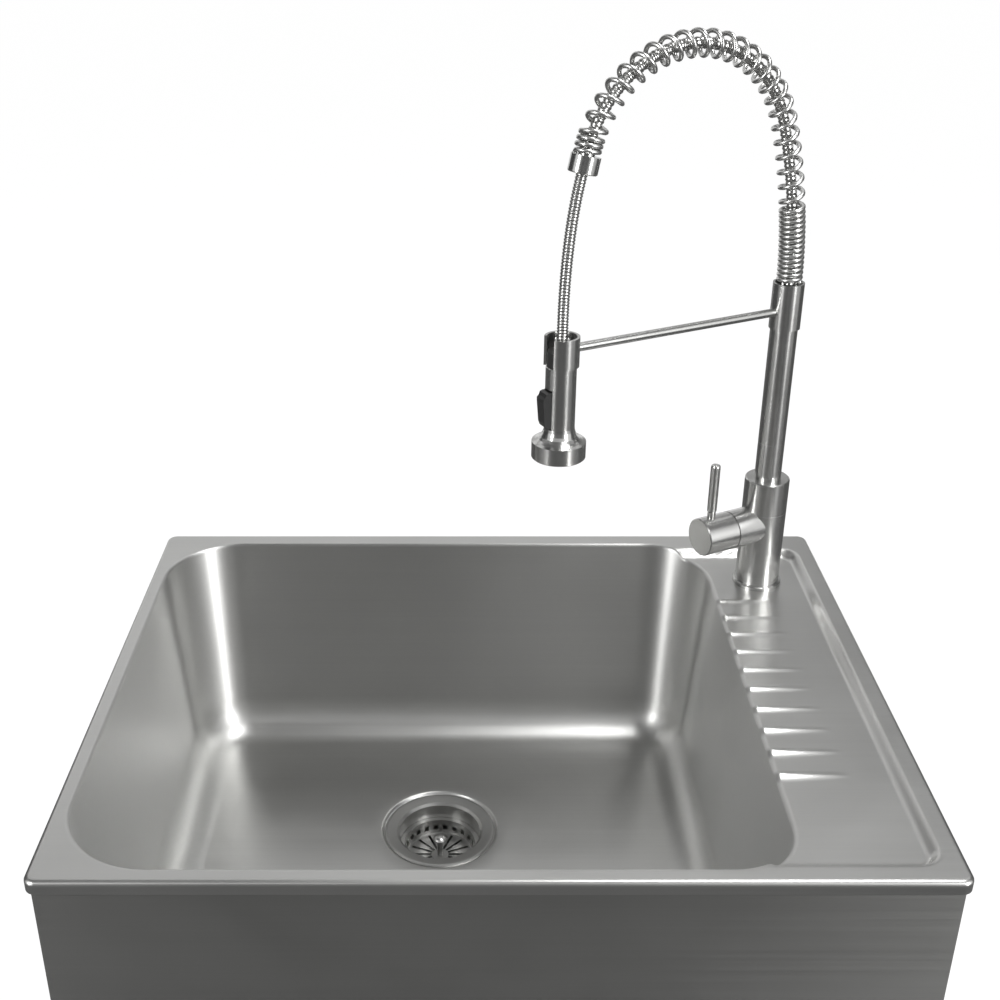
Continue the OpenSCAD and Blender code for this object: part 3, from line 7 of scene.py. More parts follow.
# %% Load the frame
import bpy
import math
import numpy as np
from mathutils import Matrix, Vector


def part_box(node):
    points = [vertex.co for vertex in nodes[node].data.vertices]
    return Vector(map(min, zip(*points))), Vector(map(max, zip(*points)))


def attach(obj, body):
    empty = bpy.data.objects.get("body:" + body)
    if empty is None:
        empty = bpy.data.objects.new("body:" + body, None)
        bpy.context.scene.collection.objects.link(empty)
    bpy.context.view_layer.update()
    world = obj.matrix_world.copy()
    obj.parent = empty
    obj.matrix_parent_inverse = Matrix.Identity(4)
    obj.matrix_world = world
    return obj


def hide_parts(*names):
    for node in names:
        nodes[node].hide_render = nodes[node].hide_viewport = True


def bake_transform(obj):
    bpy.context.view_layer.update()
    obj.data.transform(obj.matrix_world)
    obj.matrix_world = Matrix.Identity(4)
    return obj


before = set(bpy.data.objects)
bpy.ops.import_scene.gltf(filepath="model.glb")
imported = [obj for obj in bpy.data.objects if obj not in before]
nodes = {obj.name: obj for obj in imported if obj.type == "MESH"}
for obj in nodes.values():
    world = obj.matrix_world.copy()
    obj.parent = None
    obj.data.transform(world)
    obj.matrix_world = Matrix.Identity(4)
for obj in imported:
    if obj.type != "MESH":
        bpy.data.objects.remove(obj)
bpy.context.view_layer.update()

# %% [markdown]
# The photograph looks down on the sink from a little above a standing person's eyes.
# Its camera was worked out from the rim's four corners, so the same camera here puts
# every edge where the photograph has it.

# %% Camera
CAMERA_PLACE = (-0.0271, -1.0265, 1.5492)
CAMERA_PITCH = 64.05
CAMERA_LENS = 47.76
SIDE_SHIFT = 0.0373
camera_data = bpy.data.cameras.new("camera")
camera_data.lens = CAMERA_LENS
camera_data.sensor_width = 36
camera_data.shift_x = SIDE_SHIFT
camera = bpy.data.objects.new("camera", camera_data)
camera.location = CAMERA_PLACE
camera.rotation_euler = (math.radians(CAMERA_PITCH), 0, 0)
bpy.context.scene.collection.objects.link(camera)
bpy.context.scene.camera = camera
bpy.context.scene.view_settings.view_transform = "Standard"

# %% [markdown]
# The cabinet stands in a plain white studio. Steel shows whatever is round it, so the
# background is white for rays that it mirrors too, and plain light falls from
# large soft lamps. Grey cards stand out of the picture, as a photographer sets them
# beside bright metal, so that its edges and curves stay readable.

# %% Studio light
FILL_LIGHT = 0.55
world = bpy.data.worlds.new("studio")
bpy.context.scene.world = world
world.use_nodes = True
wn, wl = world.node_tree.nodes, world.node_tree.links
wn.clear()
world_out = wn.new("ShaderNodeOutputWorld")
seen = wn.new("ShaderNodeBackground")
seen.inputs["Color"].default_value = (1, 1, 1, 1)
seen.inputs["Strength"].default_value = 1.0
fill = wn.new("ShaderNodeBackground")
fill.inputs["Strength"].default_value = FILL_LIGHT
path = wn.new("ShaderNodeLightPath")
either = wn.new("ShaderNodeMath")
either.operation = "MAXIMUM"
wl.new(path.outputs["Is Camera Ray"], either.inputs[0])
wl.new(path.outputs["Is Glossy Ray"], either.inputs[1])
every = wn.new("ShaderNodeMath")
every.operation = "MAXIMUM"
wl.new(either.outputs[0], every.inputs[0])
wl.new(path.outputs["Is Transmission Ray"], every.inputs[1])
choose = wn.new("ShaderNodeMixShader")
wl.new(every.outputs[0], choose.inputs[0])
wl.new(fill.outputs[0], choose.inputs[1])
wl.new(seen.outputs[0], choose.inputs[2])
wl.new(choose.outputs[0], world_out.inputs[0])


def soft_lamp(name, place, aim, size, power):
    """A soft rectangular lamp at a place, turned to a point."""
    data = bpy.data.lights.new(name, "AREA")
    data.shape = "RECTANGLE"
    data.size, data.size_y = size
    data.energy = power
    lamp = bpy.data.objects.new(name, data)
    lamp.location = place
    lamp.rotation_euler = (Vector(aim) - Vector(place)).to_track_quat("-Z", "Y").to_euler()
    bpy.context.scene.collection.objects.link(lamp)
    return lamp


SINK_MIDDLE = (0.0, 0.0, 0.86)
soft_lamp("lamp_left", (-2.2, -1.7, 1.8), SINK_MIDDLE, (0.3, 1.6), 40)
soft_lamp("lamp_right", (2.1, -1.9, 1.8), SINK_MIDDLE, (0.3, 1.6), 72)
soft_lamp("lamp_above", (0.8, 0.0, 3.4), SINK_MIDDLE, (1.4, 0.5), 38)

# %% Floor and grey cards
bpy.ops.mesh.primitive_plane_add(size=40, location=(0, 0, 0))
floor = bpy.context.object
floor.name = "studio_floor"


def card(name, place, turn, size, shade):
    """A flat grey card that metal mirrors and the camera doesn't see."""
    bpy.ops.mesh.primitive_plane_add(size=1, location=place, rotation=turn)
    board = bpy.context.object
    board.name = name
    board.scale = (size[0], size[1], 1)
    finish = bpy.data.materials.new(name)
    finish.use_nodes = True
    n, l = finish.node_tree.nodes, finish.node_tree.links
    n.clear()
    out = n.new("ShaderNodeOutputMaterial")
    clear = n.new("ShaderNodeBsdfTransparent")
    grey = n.new("ShaderNodeEmission")
    grey.inputs["Color"].default_value = (shade, shade, shade, 1)
    rays = n.new("ShaderNodeLightPath")
    mix = n.new("ShaderNodeMixShader")
    l.new(rays.outputs["Is Glossy Ray"], mix.inputs[0])
    l.new(clear.outputs[0], mix.inputs[1])
    l.new(grey.outputs[0], mix.inputs[2])
    l.new(mix.outputs[0], out.inputs[0])
    board.data.materials.append(finish)
    board.visible_shadow = False
    return board


SQUARE = math.radians(90)
card("card_low", (0, 0, 0.02), (0, 0, 0), (9.0, 9.0), 0.12)
card("card_front", (0, -3.2, 1.6), (SQUARE, 0, 0), (5.0, 3.2), 0.1)
card("card_front_left", (-1.6, -3.1, 1.6), (SQUARE, 0, 0), (0.3, 3.2), 0.2)
card("card_front_middle", (-0.1, -3.1, 1.6), (SQUARE, 0, 0), (0.9, 3.2), 0.15)
card("card_front_right", (1.7, -3.1, 1.6), (SQUARE, 0, 0), (0.5, 3.2), 0.4)
card("card_shade", (1.9, 3.3, 2.6), (SQUARE, 0, 0), (1.8, 2.6), 0.3)
card("card_top", (0, -0.6, 5.0), (0, 0, 0), (9.0, 6.0), 0.14)
card("card_behind", (0.6, 3.4, 2.1), (math.radians(80), 0, 0), (5.0, 1.2), 0.6)
card("card_high", (0.6, 2.9, 3.7), (math.radians(50), 0, 0), (6.0, 2.6), 0.1)
card("card_left", (-3.2, 1.5, 1.8), (SQUARE, 0, math.radians(75)), (3.6, 3.6), 0.07)
card("card_right", (3.2, 1.5, 1.8), (SQUARE, 0, math.radians(-75)), (3.6, 3.6), 0.1)

# The floor glows, so that it is white in the picture and still takes a soft shadow
FLOOR_GLOW, FLOOR_GLOW_SHARE = 1.1, 0.85
floor_finish = bpy.data.materials.new("studio_floor")
floor_finish.use_nodes = True
fn, fl = floor_finish.node_tree.nodes, floor_finish.node_tree.links
fn.clear()
floor_out = fn.new("ShaderNodeOutputMaterial")
pale = fn.new("ShaderNodeBsdfDiffuse")
pale.inputs["Color"].default_value = (0.92, 0.92, 0.92, 1)
white = fn.new("ShaderNodeEmission")
white.inputs["Color"].default_value = (1, 1, 1, 1)
floor_mix = fn.new("ShaderNodeMixShader")
floor_mix.inputs[0].default_value = FLOOR_GLOW_SHARE
white.inputs["Strength"].default_value = FLOOR_GLOW
fl.new(pale.outputs[0], floor_mix.inputs[1])
fl.new(white.outputs[0], floor_mix.inputs[2])
fl.new(floor_mix.outputs[0], floor_out.inputs[0])
floor.data.materials.append(floor_finish)
print("studio ready")

# %% [markdown]
# Steel sheet is brushed: fine scratches run one way, and hands leave faint smudges.
# One node group makes the scratches from noise that is stretched along the brushing,
# and one makes the smudges. Every metal uses both, with its own direction and depth.

# %% Node groups for scratches and smudges


def new_group(name, inputs, outputs):
    """An empty node group with named sockets."""
    group = bpy.data.node_groups.new(name, "ShaderNodeTree")
    for label, kind, value in inputs:
        socket = group.interface.new_socket(label, in_out="INPUT", socket_type=kind)
        if value is not None:
            socket.default_value = value
    for label, kind in outputs:
        group.interface.new_socket(label, in_out="OUTPUT", socket_type=kind)
    return group, group.nodes.new("NodeGroupInput"), group.nodes.new("NodeGroupOutput")


# Long, faint marks lie among the fine scratches
COARSE_SCALE, COARSE_SHARE = 0.27, 0.4
brushing, b_in, b_out = new_group(
    "brushing",
    [("Place", "NodeSocketVector", None), ("Fineness", "NodeSocketFloat", 1.0)],
    [("Lines", "NodeSocketFloat")],
)
fine = brushing.nodes.new("ShaderNodeTexNoise")
fine.inputs["Detail"].default_value = 2.0
coarse = brushing.nodes.new("ShaderNodeTexNoise")
coarse.inputs["Detail"].default_value = 3.0
less = brushing.nodes.new("ShaderNodeMath")
less.operation = "MULTIPLY"
less.inputs[1].default_value = COARSE_SCALE
blend = brushing.nodes.new("ShaderNodeMix")
blend.inputs["Factor"].default_value = COARSE_SHARE
brushing.links.new(b_in.outputs["Place"], fine.inputs["Vector"])
brushing.links.new(b_in.outputs["Fineness"], fine.inputs["Scale"])
brushing.links.new(b_in.outputs["Place"], coarse.inputs["Vector"])
brushing.links.new(b_in.outputs["Fineness"], less.inputs[0])
brushing.links.new(less.outputs[0], coarse.inputs["Scale"])
brushing.links.new(fine.outputs["Fac"], blend.inputs["A"])
brushing.links.new(coarse.outputs["Fac"], blend.inputs["B"])
brushing.links.new(blend.outputs["Result"], b_out.inputs["Lines"])

smudges, s_in, s_out = new_group(
    "smudges",
    [("Place", "NodeSocketVector", None), ("Size", "NodeSocketFloat", 6.0)],
    [("Cloud", "NodeSocketFloat")],
)
cloud = smudges.nodes.new("ShaderNodeTexNoise")
cloud.inputs["Detail"].default_value = 4.0
cloud.inputs["Distortion"].default_value = 0.6
smudges.links.new(s_in.outputs["Place"], cloud.inputs["Vector"])
smudges.links.new(s_in.outputs["Size"], cloud.inputs["Scale"])
smudges.links.new(cloud.outputs["Fac"], s_out.inputs["Cloud"])
print("node groups:", brushing.name, smudges.name)


# %% [markdown]
# A finish is then a Principled shader. Its colour and roughness are each a range
# between two values that scratches and smudges choose from, and the scratches also
# give a slight relief.

# %% A finish from the two groups
# A quarter turn, which draws highlights out across the scratches
ACROSS = 0.25
# Noise seldom leaves this range, which is spread over each finish's own range
NOISE_LOW, NOISE_HIGH = 0.3, 0.7
SCRATCH_DEPTH = 0.0004


def mixed_range(tree, factor, low, high):
    """A number between low and high, chosen by a factor."""
    node = tree.nodes.new("ShaderNodeMapRange")
    node.inputs["From Min"].default_value = NOISE_LOW
    node.inputs["From Max"].default_value = NOISE_HIGH
    node.inputs["To Min"].default_value = low
    node.inputs["To Max"].default_value = high
    tree.links.new(factor, node.inputs["Value"])
    return node.outputs["Result"]


def metal(name, colour, shade_spread, rough, stretch, turn=(0, 0, 0), relief=0.05,
          fineness=1.0, smudge=7.0, metallic=1.0, coat=0.0, streak=0.0):
    """A brushed metal. stretch is how often the brushing changes along x, y and z.
    streak draws highlights out across the scratches, which run round the piece."""
    finish = bpy.data.materials.new(name)
    finish.use_nodes = True
    tree = finish.node_tree
    shader = tree.nodes["Principled BSDF"]
    shader.inputs["Metallic"].default_value = metallic
    shader.inputs["Coat Weight"].default_value = coat
    shader.inputs["Anisotropic"].default_value = streak
    shader.inputs["Anisotropic Rotation"].default_value = ACROSS if streak else 0.0
    where = tree.nodes.new("ShaderNodeTexCoord")
    along = tree.nodes.new("ShaderNodeMapping")
    along.inputs["Rotation"].default_value = turn
    squeeze = tree.nodes.new("ShaderNodeMapping")
    squeeze.inputs["Scale"].default_value = stretch
    tree.links.new(where.outputs["Object"], along.inputs["Vector"])
    tree.links.new(along.outputs[0], squeeze.inputs["Vector"])
    lines = tree.nodes.new("ShaderNodeGroup")
    lines.node_tree = brushing
    lines.inputs["Fineness"].default_value = fineness
    tree.links.new(squeeze.outputs[0], lines.inputs["Place"])
    marks = tree.nodes.new("ShaderNodeGroup")
    marks.node_tree = smudges
    marks.inputs["Size"].default_value = smudge
    tree.links.new(where.outputs["Object"], marks.inputs["Place"])
    both = tree.nodes.new("ShaderNodeMath")
    both.operation = "MULTIPLY_ADD"
    both.inputs[1].default_value = 0.5
    tree.links.new(marks.outputs["Cloud"], both.inputs[0])
    half = tree.nodes.new("ShaderNodeMath")
    half.operation = "MULTIPLY"
    half.inputs[1].default_value = 0.5
    tree.links.new(lines.outputs["Lines"], half.inputs[0])
    tree.links.new(half.outputs[0], both.inputs[2])
    tint = tree.nodes.new("ShaderNodeMix")
    tint.data_type = "RGBA"
    tint.inputs["A"].default_value = [c * (1 - shade_spread) for c in colour] + [1]
    tint.inputs["B"].default_value = [min(1, c * (1 + shade_spread)) for c in colour] + [1]
    tree.links.new(mixed_range(tree, both.outputs[0], 0, 1), tint.inputs["Factor"])
    tree.links.new(tint.outputs["Result"], shader.inputs["Base Color"])
    tree.links.new(mixed_range(tree, both.outputs[0], *rough), shader.inputs["Roughness"])
    bump = tree.nodes.new("ShaderNodeBump")
    bump.inputs["Strength"].default_value = relief
    bump.inputs["Distance"].default_value = SCRATCH_DEPTH
    tree.links.new(lines.outputs["Lines"], bump.inputs["Height"])
    tree.links.new(bump.outputs[0], shader.inputs["Normal"])
    return finish


def moulded(name, colour, rough, grain=900, relief=0.1):
    """A moulded or rubber surface with a fine grain."""
    return metal(name, colour, 0.12, rough, (grain, grain, grain), relief=relief, metallic=0.0)


ARM_TURN = math.radians(-153)
sink_steel = metal("sink_steel", (0.52, 0.52, 0.51), 0.05, (0.31, 0.38), (4, 700, 700), relief=0.012)
panel_steel = metal("panel_steel", (0.42, 0.42, 0.41), 0.06, (0.42, 0.5), (5, 800, 800),
                    relief=0.03, streak=0.85)
door_steel = metal("door_steel", (0.43, 0.43, 0.42), 0.06, (0.32, 0.4), (5, 800, 800), relief=0.03)
turned_steel = metal("turned_steel", (0.55, 0.55, 0.54), 0.05, (0.22, 0.28), (3, 3, 1500),
                     relief=0.015, streak=0.7)
drain_steel = metal("drain_steel", (0.46, 0.46, 0.45), 0.06, (0.26, 0.34), (3, 3, 900), relief=0.03)
branch_steel = metal("branch_steel", (0.5, 0.5, 0.49), 0.05, (0.22, 0.28), (1500, 3, 3),
                     turn=(0, 0, -ARM_TURN), relief=0.04)
wire_steel = metal("wire_steel", (0.62, 0.62, 0.61), 0.05, (0.24, 0.32), (60, 60, 60), relief=0.02)
hose_steel = metal("hose_steel", (0.5, 0.5, 0.49), 0.08, (0.22, 0.32), (300, 300, 300), relief=0.05)
pipe_chrome = metal("pipe_chrome", (0.7, 0.7, 0.71), 0.03, (0.06, 0.14), (30, 30, 30), relief=0.01)
zinc = metal("zinc", (0.6, 0.61, 0.62), 0.12, (0.3, 0.45), (40, 40, 40), relief=0.05, smudge=40)
brass = metal("brass", (0.7, 0.56, 0.3), 0.06, (0.25, 0.35), (5, 5, 800), relief=0.06)
black_rubber = moulded("black_rubber", (0.03, 0.03, 0.03), (0.6, 0.75))
black_plastic = moulded("black_plastic", (0.02, 0.02, 0.02), (0.28, 0.4), relief=0.05)
white_plastic = moulded("white_plastic", (0.8, 0.8, 0.78), (0.3, 0.42))
foot_black = metal("foot_black", (0.03, 0.03, 0.03), 0.15, (0.35, 0.5), (300, 300, 300),
                   metallic=0.0, coat=0.2)
print("finishes:", len(bpy.data.materials))

# %% [markdown]
# The bowl's walls were brushed level all the way round, so a lamp shows there as a
# tall streak in each corner. The mesh carries a map that follows the brushing and an
# attribute that says how far a spot belongs to the walls.

# %% Streaks on the bowl's walls
WALL_STREAK, WALL_ROUGHER = 0.9, 0.09
tree = sink_steel.node_tree
sink_shader = tree.nodes["Principled BSDF"]
around = tree.nodes.new("ShaderNodeTangent")
around.direction_type = "UV_MAP"
around.uv_map = "rings"
wall = tree.nodes.new("ShaderNodeAttribute")
wall.attribute_name = "wall"
streak = tree.nodes.new("ShaderNodeMath")
streak.operation = "MULTIPLY"
streak.inputs[1].default_value = WALL_STREAK
rougher = tree.nodes.new("ShaderNodeMath")
rougher.operation = "MULTIPLY_ADD"
rougher.inputs[1].default_value = WALL_ROUGHER
tree.links.new(wall.outputs["Fac"], streak.inputs[0])
tree.links.new(wall.outputs["Fac"], rougher.inputs[0])
tree.links.new(sink_shader.inputs["Roughness"].links[0].from_socket, rougher.inputs[2])
tree.links.new(rougher.outputs[0], sink_shader.inputs["Roughness"])
tree.links.new(streak.outputs[0], sink_shader.inputs["Anisotropic"])
tree.links.new(around.outputs[0], sink_shader.inputs["Tangent"])
sink_shader.inputs["Anisotropic Rotation"].default_value = ACROSS
print("streaks from", wall.attribute_name)

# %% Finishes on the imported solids
FINISHES = {
    panel_steel: ["side_panel_left", "side_panel_right", "back_panel", "cabinet_floor", "apron",
                  "bottom_rail", "door_liner_left", "door_liner_right"],
    door_steel: ["door_skin_left", "door_skin_right"],
    zinc: ["brackets", "hinge_pins", "back_screws", "handle_screws_left", "handle_screws_right",
           "strike_plate_left", "strike_plate_right"],
    white_plastic: ["magnet_catches", "cartridge"],
    foot_black: ["foot_front_left", "foot_front_right", "foot_back_left", "foot_back_right"],
    turned_steel: ["door_handle_left", "door_handle_right",
                   "base_ring", "faucet_body", "riser_tube", "riser_collar", "spring_ferrule",
                   "spray_holder", "spray_body", "handle_lever"],
    drain_steel: ["strainer_body", "basket", "basket_knob"],
    branch_steel: ["handle_cap", "support_arm"],
    brass: ["strainer_locknut", "faucet_shank", "mounting_nut", "stem_carrier", "handle_stem"],
    black_rubber: ["sound_pad", "strainer_gasket", "basket_seal"],
    black_plastic: ["hinge_bushes_left", "hinge_bushes_right", "spray_neck", "spray_face", "spray_trigger"],
    pipe_chrome: ["tailpiece", "slip_nuts", "trap_bend", "trap_arm"],
    wire_steel: ["spring"],
    hose_steel: ["hose_arch", "hose_drop"],
    sink_steel: ["sink_deck", "bowl"],
}
for finish, names in FINISHES.items():
    for name in names:
        nodes[name].data.materials.clear()
        nodes[name].data.materials.append(finish)
print("dressed", sum(len(v) for v in FINISHES.values()), "solids")

# %% [markdown]
# The sink is pressed from one steel sheet, so it has no sharp edge: rim, tray, bowl
# and drain seat flow into each other. It could be cut from blocks, but then each
# blend would need its own bevel. Instead it is laid out as a press tool does it: closed
# rings run round the drain, up the bowl, over its edge and out to the lip, and a
# height rule presses the tray and its ribs. Neighbouring rings are joined by faces.

# %% Sizes of the sink
MM = 0.001
RIM_W, RIM_D, RIM_TOP, RIM_MIDDLE_Y = 711.0, 559.0, 864.0, 12.5
RIM_R, LIP_H, SHEET = 10.0, 11.5, 1.2
BOWL_X0, BOWL_X1, BOWL_Y0, BOWL_Y1 = -340.5, 235.0, -263.0, 257.0
BOWL_DEPTH, BOWL_DRAFT, BOWL_COVE = 230.0, 15.0, 40.0
R_LEFT, R_BACK, R_FRONT = 75.0, 67.0, 57.0
TRAY_X0, TRAY_X1, TRAY_Y0, TRAY_Y1 = 140.0, 338.5, -261.0, 248.0
TRAY_DROP, TRAY_SLOPE, TRAY_R = 8.0, 8.5, 20.0
RIB_COUNT, RIB_PITCH, RIB_LAST_Y, RIB_LEN, RIB_H = 10, 32.0, 148.0, 62.0, 4.0
RIB_STEEP, RIB_GENTLE = 1.6, 4.6
RIB_RUN_IN, RIB_TIP = 20.0, 0.4
DRAIN_X, DRAIN_Y = -51.0, 58.0
MOUTH_ROUND = 3.5
RIM_ROUND = 4.0

# Corners run round from the front right: middle, radius
MOUTH_CORNERS = [
    (BOWL_X1 - R_FRONT, BOWL_Y0 + R_FRONT, R_FRONT), (BOWL_X1 - R_BACK, BOWL_Y1 - R_BACK, R_BACK),
    (BOWL_X0 + R_LEFT, BOWL_Y1 - R_LEFT, R_LEFT), (BOWL_X0 + R_LEFT, BOWL_Y0 + R_LEFT, R_LEFT),
]
RIM_CORNERS = [
    (s * (RIM_W / 2 - RIM_R), t * (RIM_D / 2 - RIM_R), RIM_R)
    for s, t in ((1, -1), (1, 1), (-1, 1), (-1, -1))
]
CORNER_STEPS = 22
SIDE_STEPS = (230, 40, 32, 40)


def ring_round(corners, inset):
    """Points round four corners, drawn in by inset, which may differ from point to point."""
    centres, radii, outs = [], [], []
    for k in range(4):
        x, y, r = corners[k]
        for j in range(CORNER_STEPS):
            a = math.radians(-90 + 90 * k + 90 * j / (CORNER_STEPS - 1))
            centres.append((x, y))
            radii.append(r)
            outs.append((math.cos(a), math.sin(a)))
        x2, y2, r2 = corners[(k + 1) % 4]
        a = math.radians(90 * k)
        for j in range(1, SIDE_STEPS[k]):
            t = j / SIDE_STEPS[k]
            centres.append((x + t * (x2 - x), y + t * (y2 - y)))
            radii.append(r + t * (r2 - r))
            outs.append((math.cos(a), math.sin(a)))
    centres, radii, outs = np.array(centres), np.array(radii), np.array(outs)
    return centres + outs * (radii - inset)[:, None]


def inside_box(x, y, x0, x1, y0, y1, r):
    """How far a point lies inside a box with round corners; negative outside."""
    qx = np.abs(x - (x0 + x1) / 2) - ((x1 - x0) / 2 - r)
    qy = np.abs(y - (y0 + y1) / 2) - ((y1 - y0) / 2 - r)
    outside = np.hypot(np.maximum(qx, 0), np.maximum(qy, 0))
    return r - outside - np.minimum(np.maximum(qx, qy), 0)


def pressed(x, y):
    """Height of the deck: the tray's floor with soft sides, and ribs that run out on it."""
    depth = np.clip(inside_box(x, y, TRAY_X0, TRAY_X1, TRAY_Y0, TRAY_Y1, TRAY_R) / TRAY_SLOPE, 0, 1)
    drop = TRAY_DROP * depth * depth * (3 - 2 * depth)
    crest = RIB_H * np.clip((BOWL_X1 + RIB_LEN - x) / (RIB_LEN + RIB_RUN_IN), 0, 1) * (x > TRAY_X0)
    ribs = np.zeros_like(x)
    for k in range(RIB_COUNT):
        off = y - (RIB_LAST_Y - k * RIB_PITCH)
        off /= np.where(off > 0, RIB_STEEP, RIB_GENTLE) * (RIB_TIP + (1 - RIB_TIP) * crest / RIB_H)
        ribs += crest * np.exp(-off * off / 2)
    return -drop + ribs


# %% Rings of the sink, from the drain out to the lip
rings = []
mouth_out = ring_round(MOUTH_CORNERS, -MOUTH_ROUND)
mouth_h = pressed(mouth_out[:, 0], mouth_out[:, 1])


def wall_inset(z):
    return BOWL_DRAFT * -z / (BOWL_DEPTH - BOWL_COVE)


floor_xy = ring_round(MOUTH_CORNERS, BOWL_DRAFT + BOWL_COVE)
drain = np.array([DRAIN_X, DRAIN_Y])
away = floor_xy - drain
away /= np.linalg.norm(away, axis=1)[:, None]
SEAT_EDGE = ((46, -3), (57.6, -3), (58.4, -2.6), (59, -1.8), (59.6, -0.9), (60.4, -0.2), (61.5, 0))
for r, z in SEAT_EDGE:
    rings.append((drain + away * r, np.full(len(away), z - BOWL_DEPTH)))
FLOOR_START = 0.06
for t in np.linspace(FLOOR_START, 1, 12):
    start = drain + away * SEAT_EDGE[-1][0]
    rings.append((start + t * (floor_xy - start), np.full(len(away), -BOWL_DEPTH)))
FLOOR_END = len(rings) - 1
for a in np.radians(np.linspace(90, 0, 12)[1:]):
    inset = BOWL_DRAFT + BOWL_COVE - BOWL_COVE * math.cos(a)
    z = BOWL_COVE - BOWL_DEPTH - BOWL_COVE * math.sin(a)
    rings.append((ring_round(MOUTH_CORNERS, inset), np.full(len(away), z)))
COVE_END = len(rings) - 1
wall_low = BOWL_COVE - BOWL_DEPTH
wall_high = mouth_h - MOUTH_ROUND
for t in np.linspace(0, 1, 9)[1:]:
    z = wall_low + t * (wall_high - wall_low)
    rings.append((ring_round(MOUTH_CORNERS, wall_inset(z)), z))
for a in np.radians(np.linspace(90, 0, 7)[1:]):
    inset = wall_inset(wall_high) * math.sin(a) - MOUTH_ROUND * (1 - math.sin(a))
    rings.append((ring_round(MOUTH_CORNERS, inset), mouth_h - MOUTH_ROUND * (1 - math.cos(a))))
DECK_START = len(rings) - 1
LEVEL_EDGE = 0.8
deck_in = ring_round(MOUTH_CORNERS, -MOUTH_ROUND - LEVEL_EDGE)
deck_out = ring_round(RIM_CORNERS, RIM_ROUND + LEVEL_EDGE)
# The rings lie closer over the tray's outer slope than on the flat parts
SLOPE_FROM, SLOPE_TO = 0.74, 0.9
over_deck = np.concatenate([np.linspace(0, SLOPE_FROM, 21), np.linspace(SLOPE_FROM, SLOPE_TO, 13)[1:],
                            np.linspace(SLOPE_TO, 1, 5)[1:]])
for t in over_deck:
    xy = deck_in + t * (deck_out - deck_in)
    rings.append((xy, pressed(xy[:, 0], xy[:, 1])))
rings.append((ring_round(RIM_CORNERS, RIM_ROUND), np.zeros(len(away))))
for a in np.radians(np.linspace(0, 90, 6)[1:]):
    fall = -RIM_ROUND * (1 - math.cos(a))
    rings.append((ring_round(RIM_CORNERS, RIM_ROUND * (1 - math.sin(a))), np.full(len(away), fall)))
LIP_MIDDLE, LIP_EDGE = 6.0, 0.3
for z in (-LIP_MIDDLE, -LIP_H + LIP_EDGE, -LIP_H):
    rings.append((ring_round(RIM_CORNERS, 0.0), np.full(len(away), z)))

# %% The sink's mesh


def loft(name, rows, walls):
    """A mesh from closed rings of equal length, joined ring to ring. Its map runs round
    and up, and walls gives how far each ring is part of a wall."""
    count = len(rows[0])
    points = np.concatenate(rows)
    faces = []
    for r in range(len(rows) - 1):
        for k in range(count):
            b = (k + 1) % count
            faces.append((r * count + k, (r + 1) * count + k, (r + 1) * count + b, r * count + b))
    mesh = bpy.data.meshes.new(name)
    mesh.from_pydata(points.tolist(), [], faces)
    mesh.update()
    corners = []
    for r in range(len(rows) - 1):
        for k in range(count):
            for i, j in ((0, 0), (0, 1), (1, 1), (1, 0)):
                corners.append(((k + i) / count, rows[r + j][(k + i) % count][2]))
    mesh.uv_layers.new(name="rings").data.foreach_set("uv", np.array(corners).ravel())
    mesh.attributes.new("wall", "FLOAT", "POINT").data.foreach_set("value", np.repeat(walls, count))
    piece = bpy.data.objects.new(name, mesh)
    bpy.context.scene.collection.objects.link(piece)
    return piece


def pick(piece):
    """Selects one object alone and makes it active."""
    bpy.ops.object.select_all(action="DESELECT")
    piece.select_set(True)
    bpy.context.view_layer.objects.active = piece


def smooth(piece, angle=35):
    pick(piece)
    bpy.ops.object.shade_smooth_by_angle(angle=math.radians(angle))


rows = [np.column_stack([xy[:, 0], xy[:, 1] + RIM_MIDDLE_Y, z + RIM_TOP]) * MM for xy, z in rings]
WALL_FADE = 3
wall_rows = [FLOOR_END, COVE_END, DECK_START - WALL_FADE, DECK_START]
walls = np.interp(np.arange(len(rows)), wall_rows, [0, 1, 1, 0])
sink = loft("pressed_sink", rows, walls)
pick(sink)
thick = sink.modifiers.new("sheet", "SOLIDIFY")
thick.thickness = SHEET * MM
thick.offset = -1.0
bpy.ops.object.modifier_apply(modifier="sheet")
smooth(sink, 50)
sink.data.materials.append(sink_steel)
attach(sink, "cabinet")
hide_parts("sink_deck", "bowl")
print("pressed sink:", len(sink.data.polygons), "faces")

# %% [markdown]
# The spring is one wire: it stands straight in the collar, winds close, then open
# round the arch, then close again at the ferrule. A curve through points on that
# winding, with a round bevel, gives the wire, as bending it round a former would.

# %% The arch that spring and hose follow
FAUCET = Vector((284.5, 203.5, 856.0))
SPRING_SEAT, RISE_R, RISE_TURN, ARCH_R, ARCH_END = 320.0, 485.0, math.radians(19), 108.0, math.radians(13)
WIRE_D, COIL_D = 4.2, 25.0
COIL_R = (COIL_D - WIRE_D) / 2
CLOSE_TURNS, CLOSE_PITCH, OPEN_TURNS, END_TURNS, END_PITCH = 15, 4.8, 24, 3, 4.8
ARM_REACH = 251.0
RISE_LEN = RISE_R * RISE_TURN
ARC_LEN = RISE_LEN + ARCH_R * (math.pi - RISE_TURN - ARCH_END)
ARCH_LEN = ARC_LEN + WIRE_D


def from_faucet(p):
    """A point in the faucet's own frame, in metres in the part's frame."""
    c, s = math.cos(ARM_TURN), math.sin(ARM_TURN)
    return Vector((FAUCET.x + c * p[0] - s * p[1], FAUCET.y + s * p[0] + c * p[1], FAUCET.z + p[2])) * MM


def arch_turn(s):
    if s < RISE_LEN:
        return math.pi - s / RISE_R
    return math.pi - RISE_TURN - (min(s, ARC_LEN) - RISE_LEN) / ARCH_R


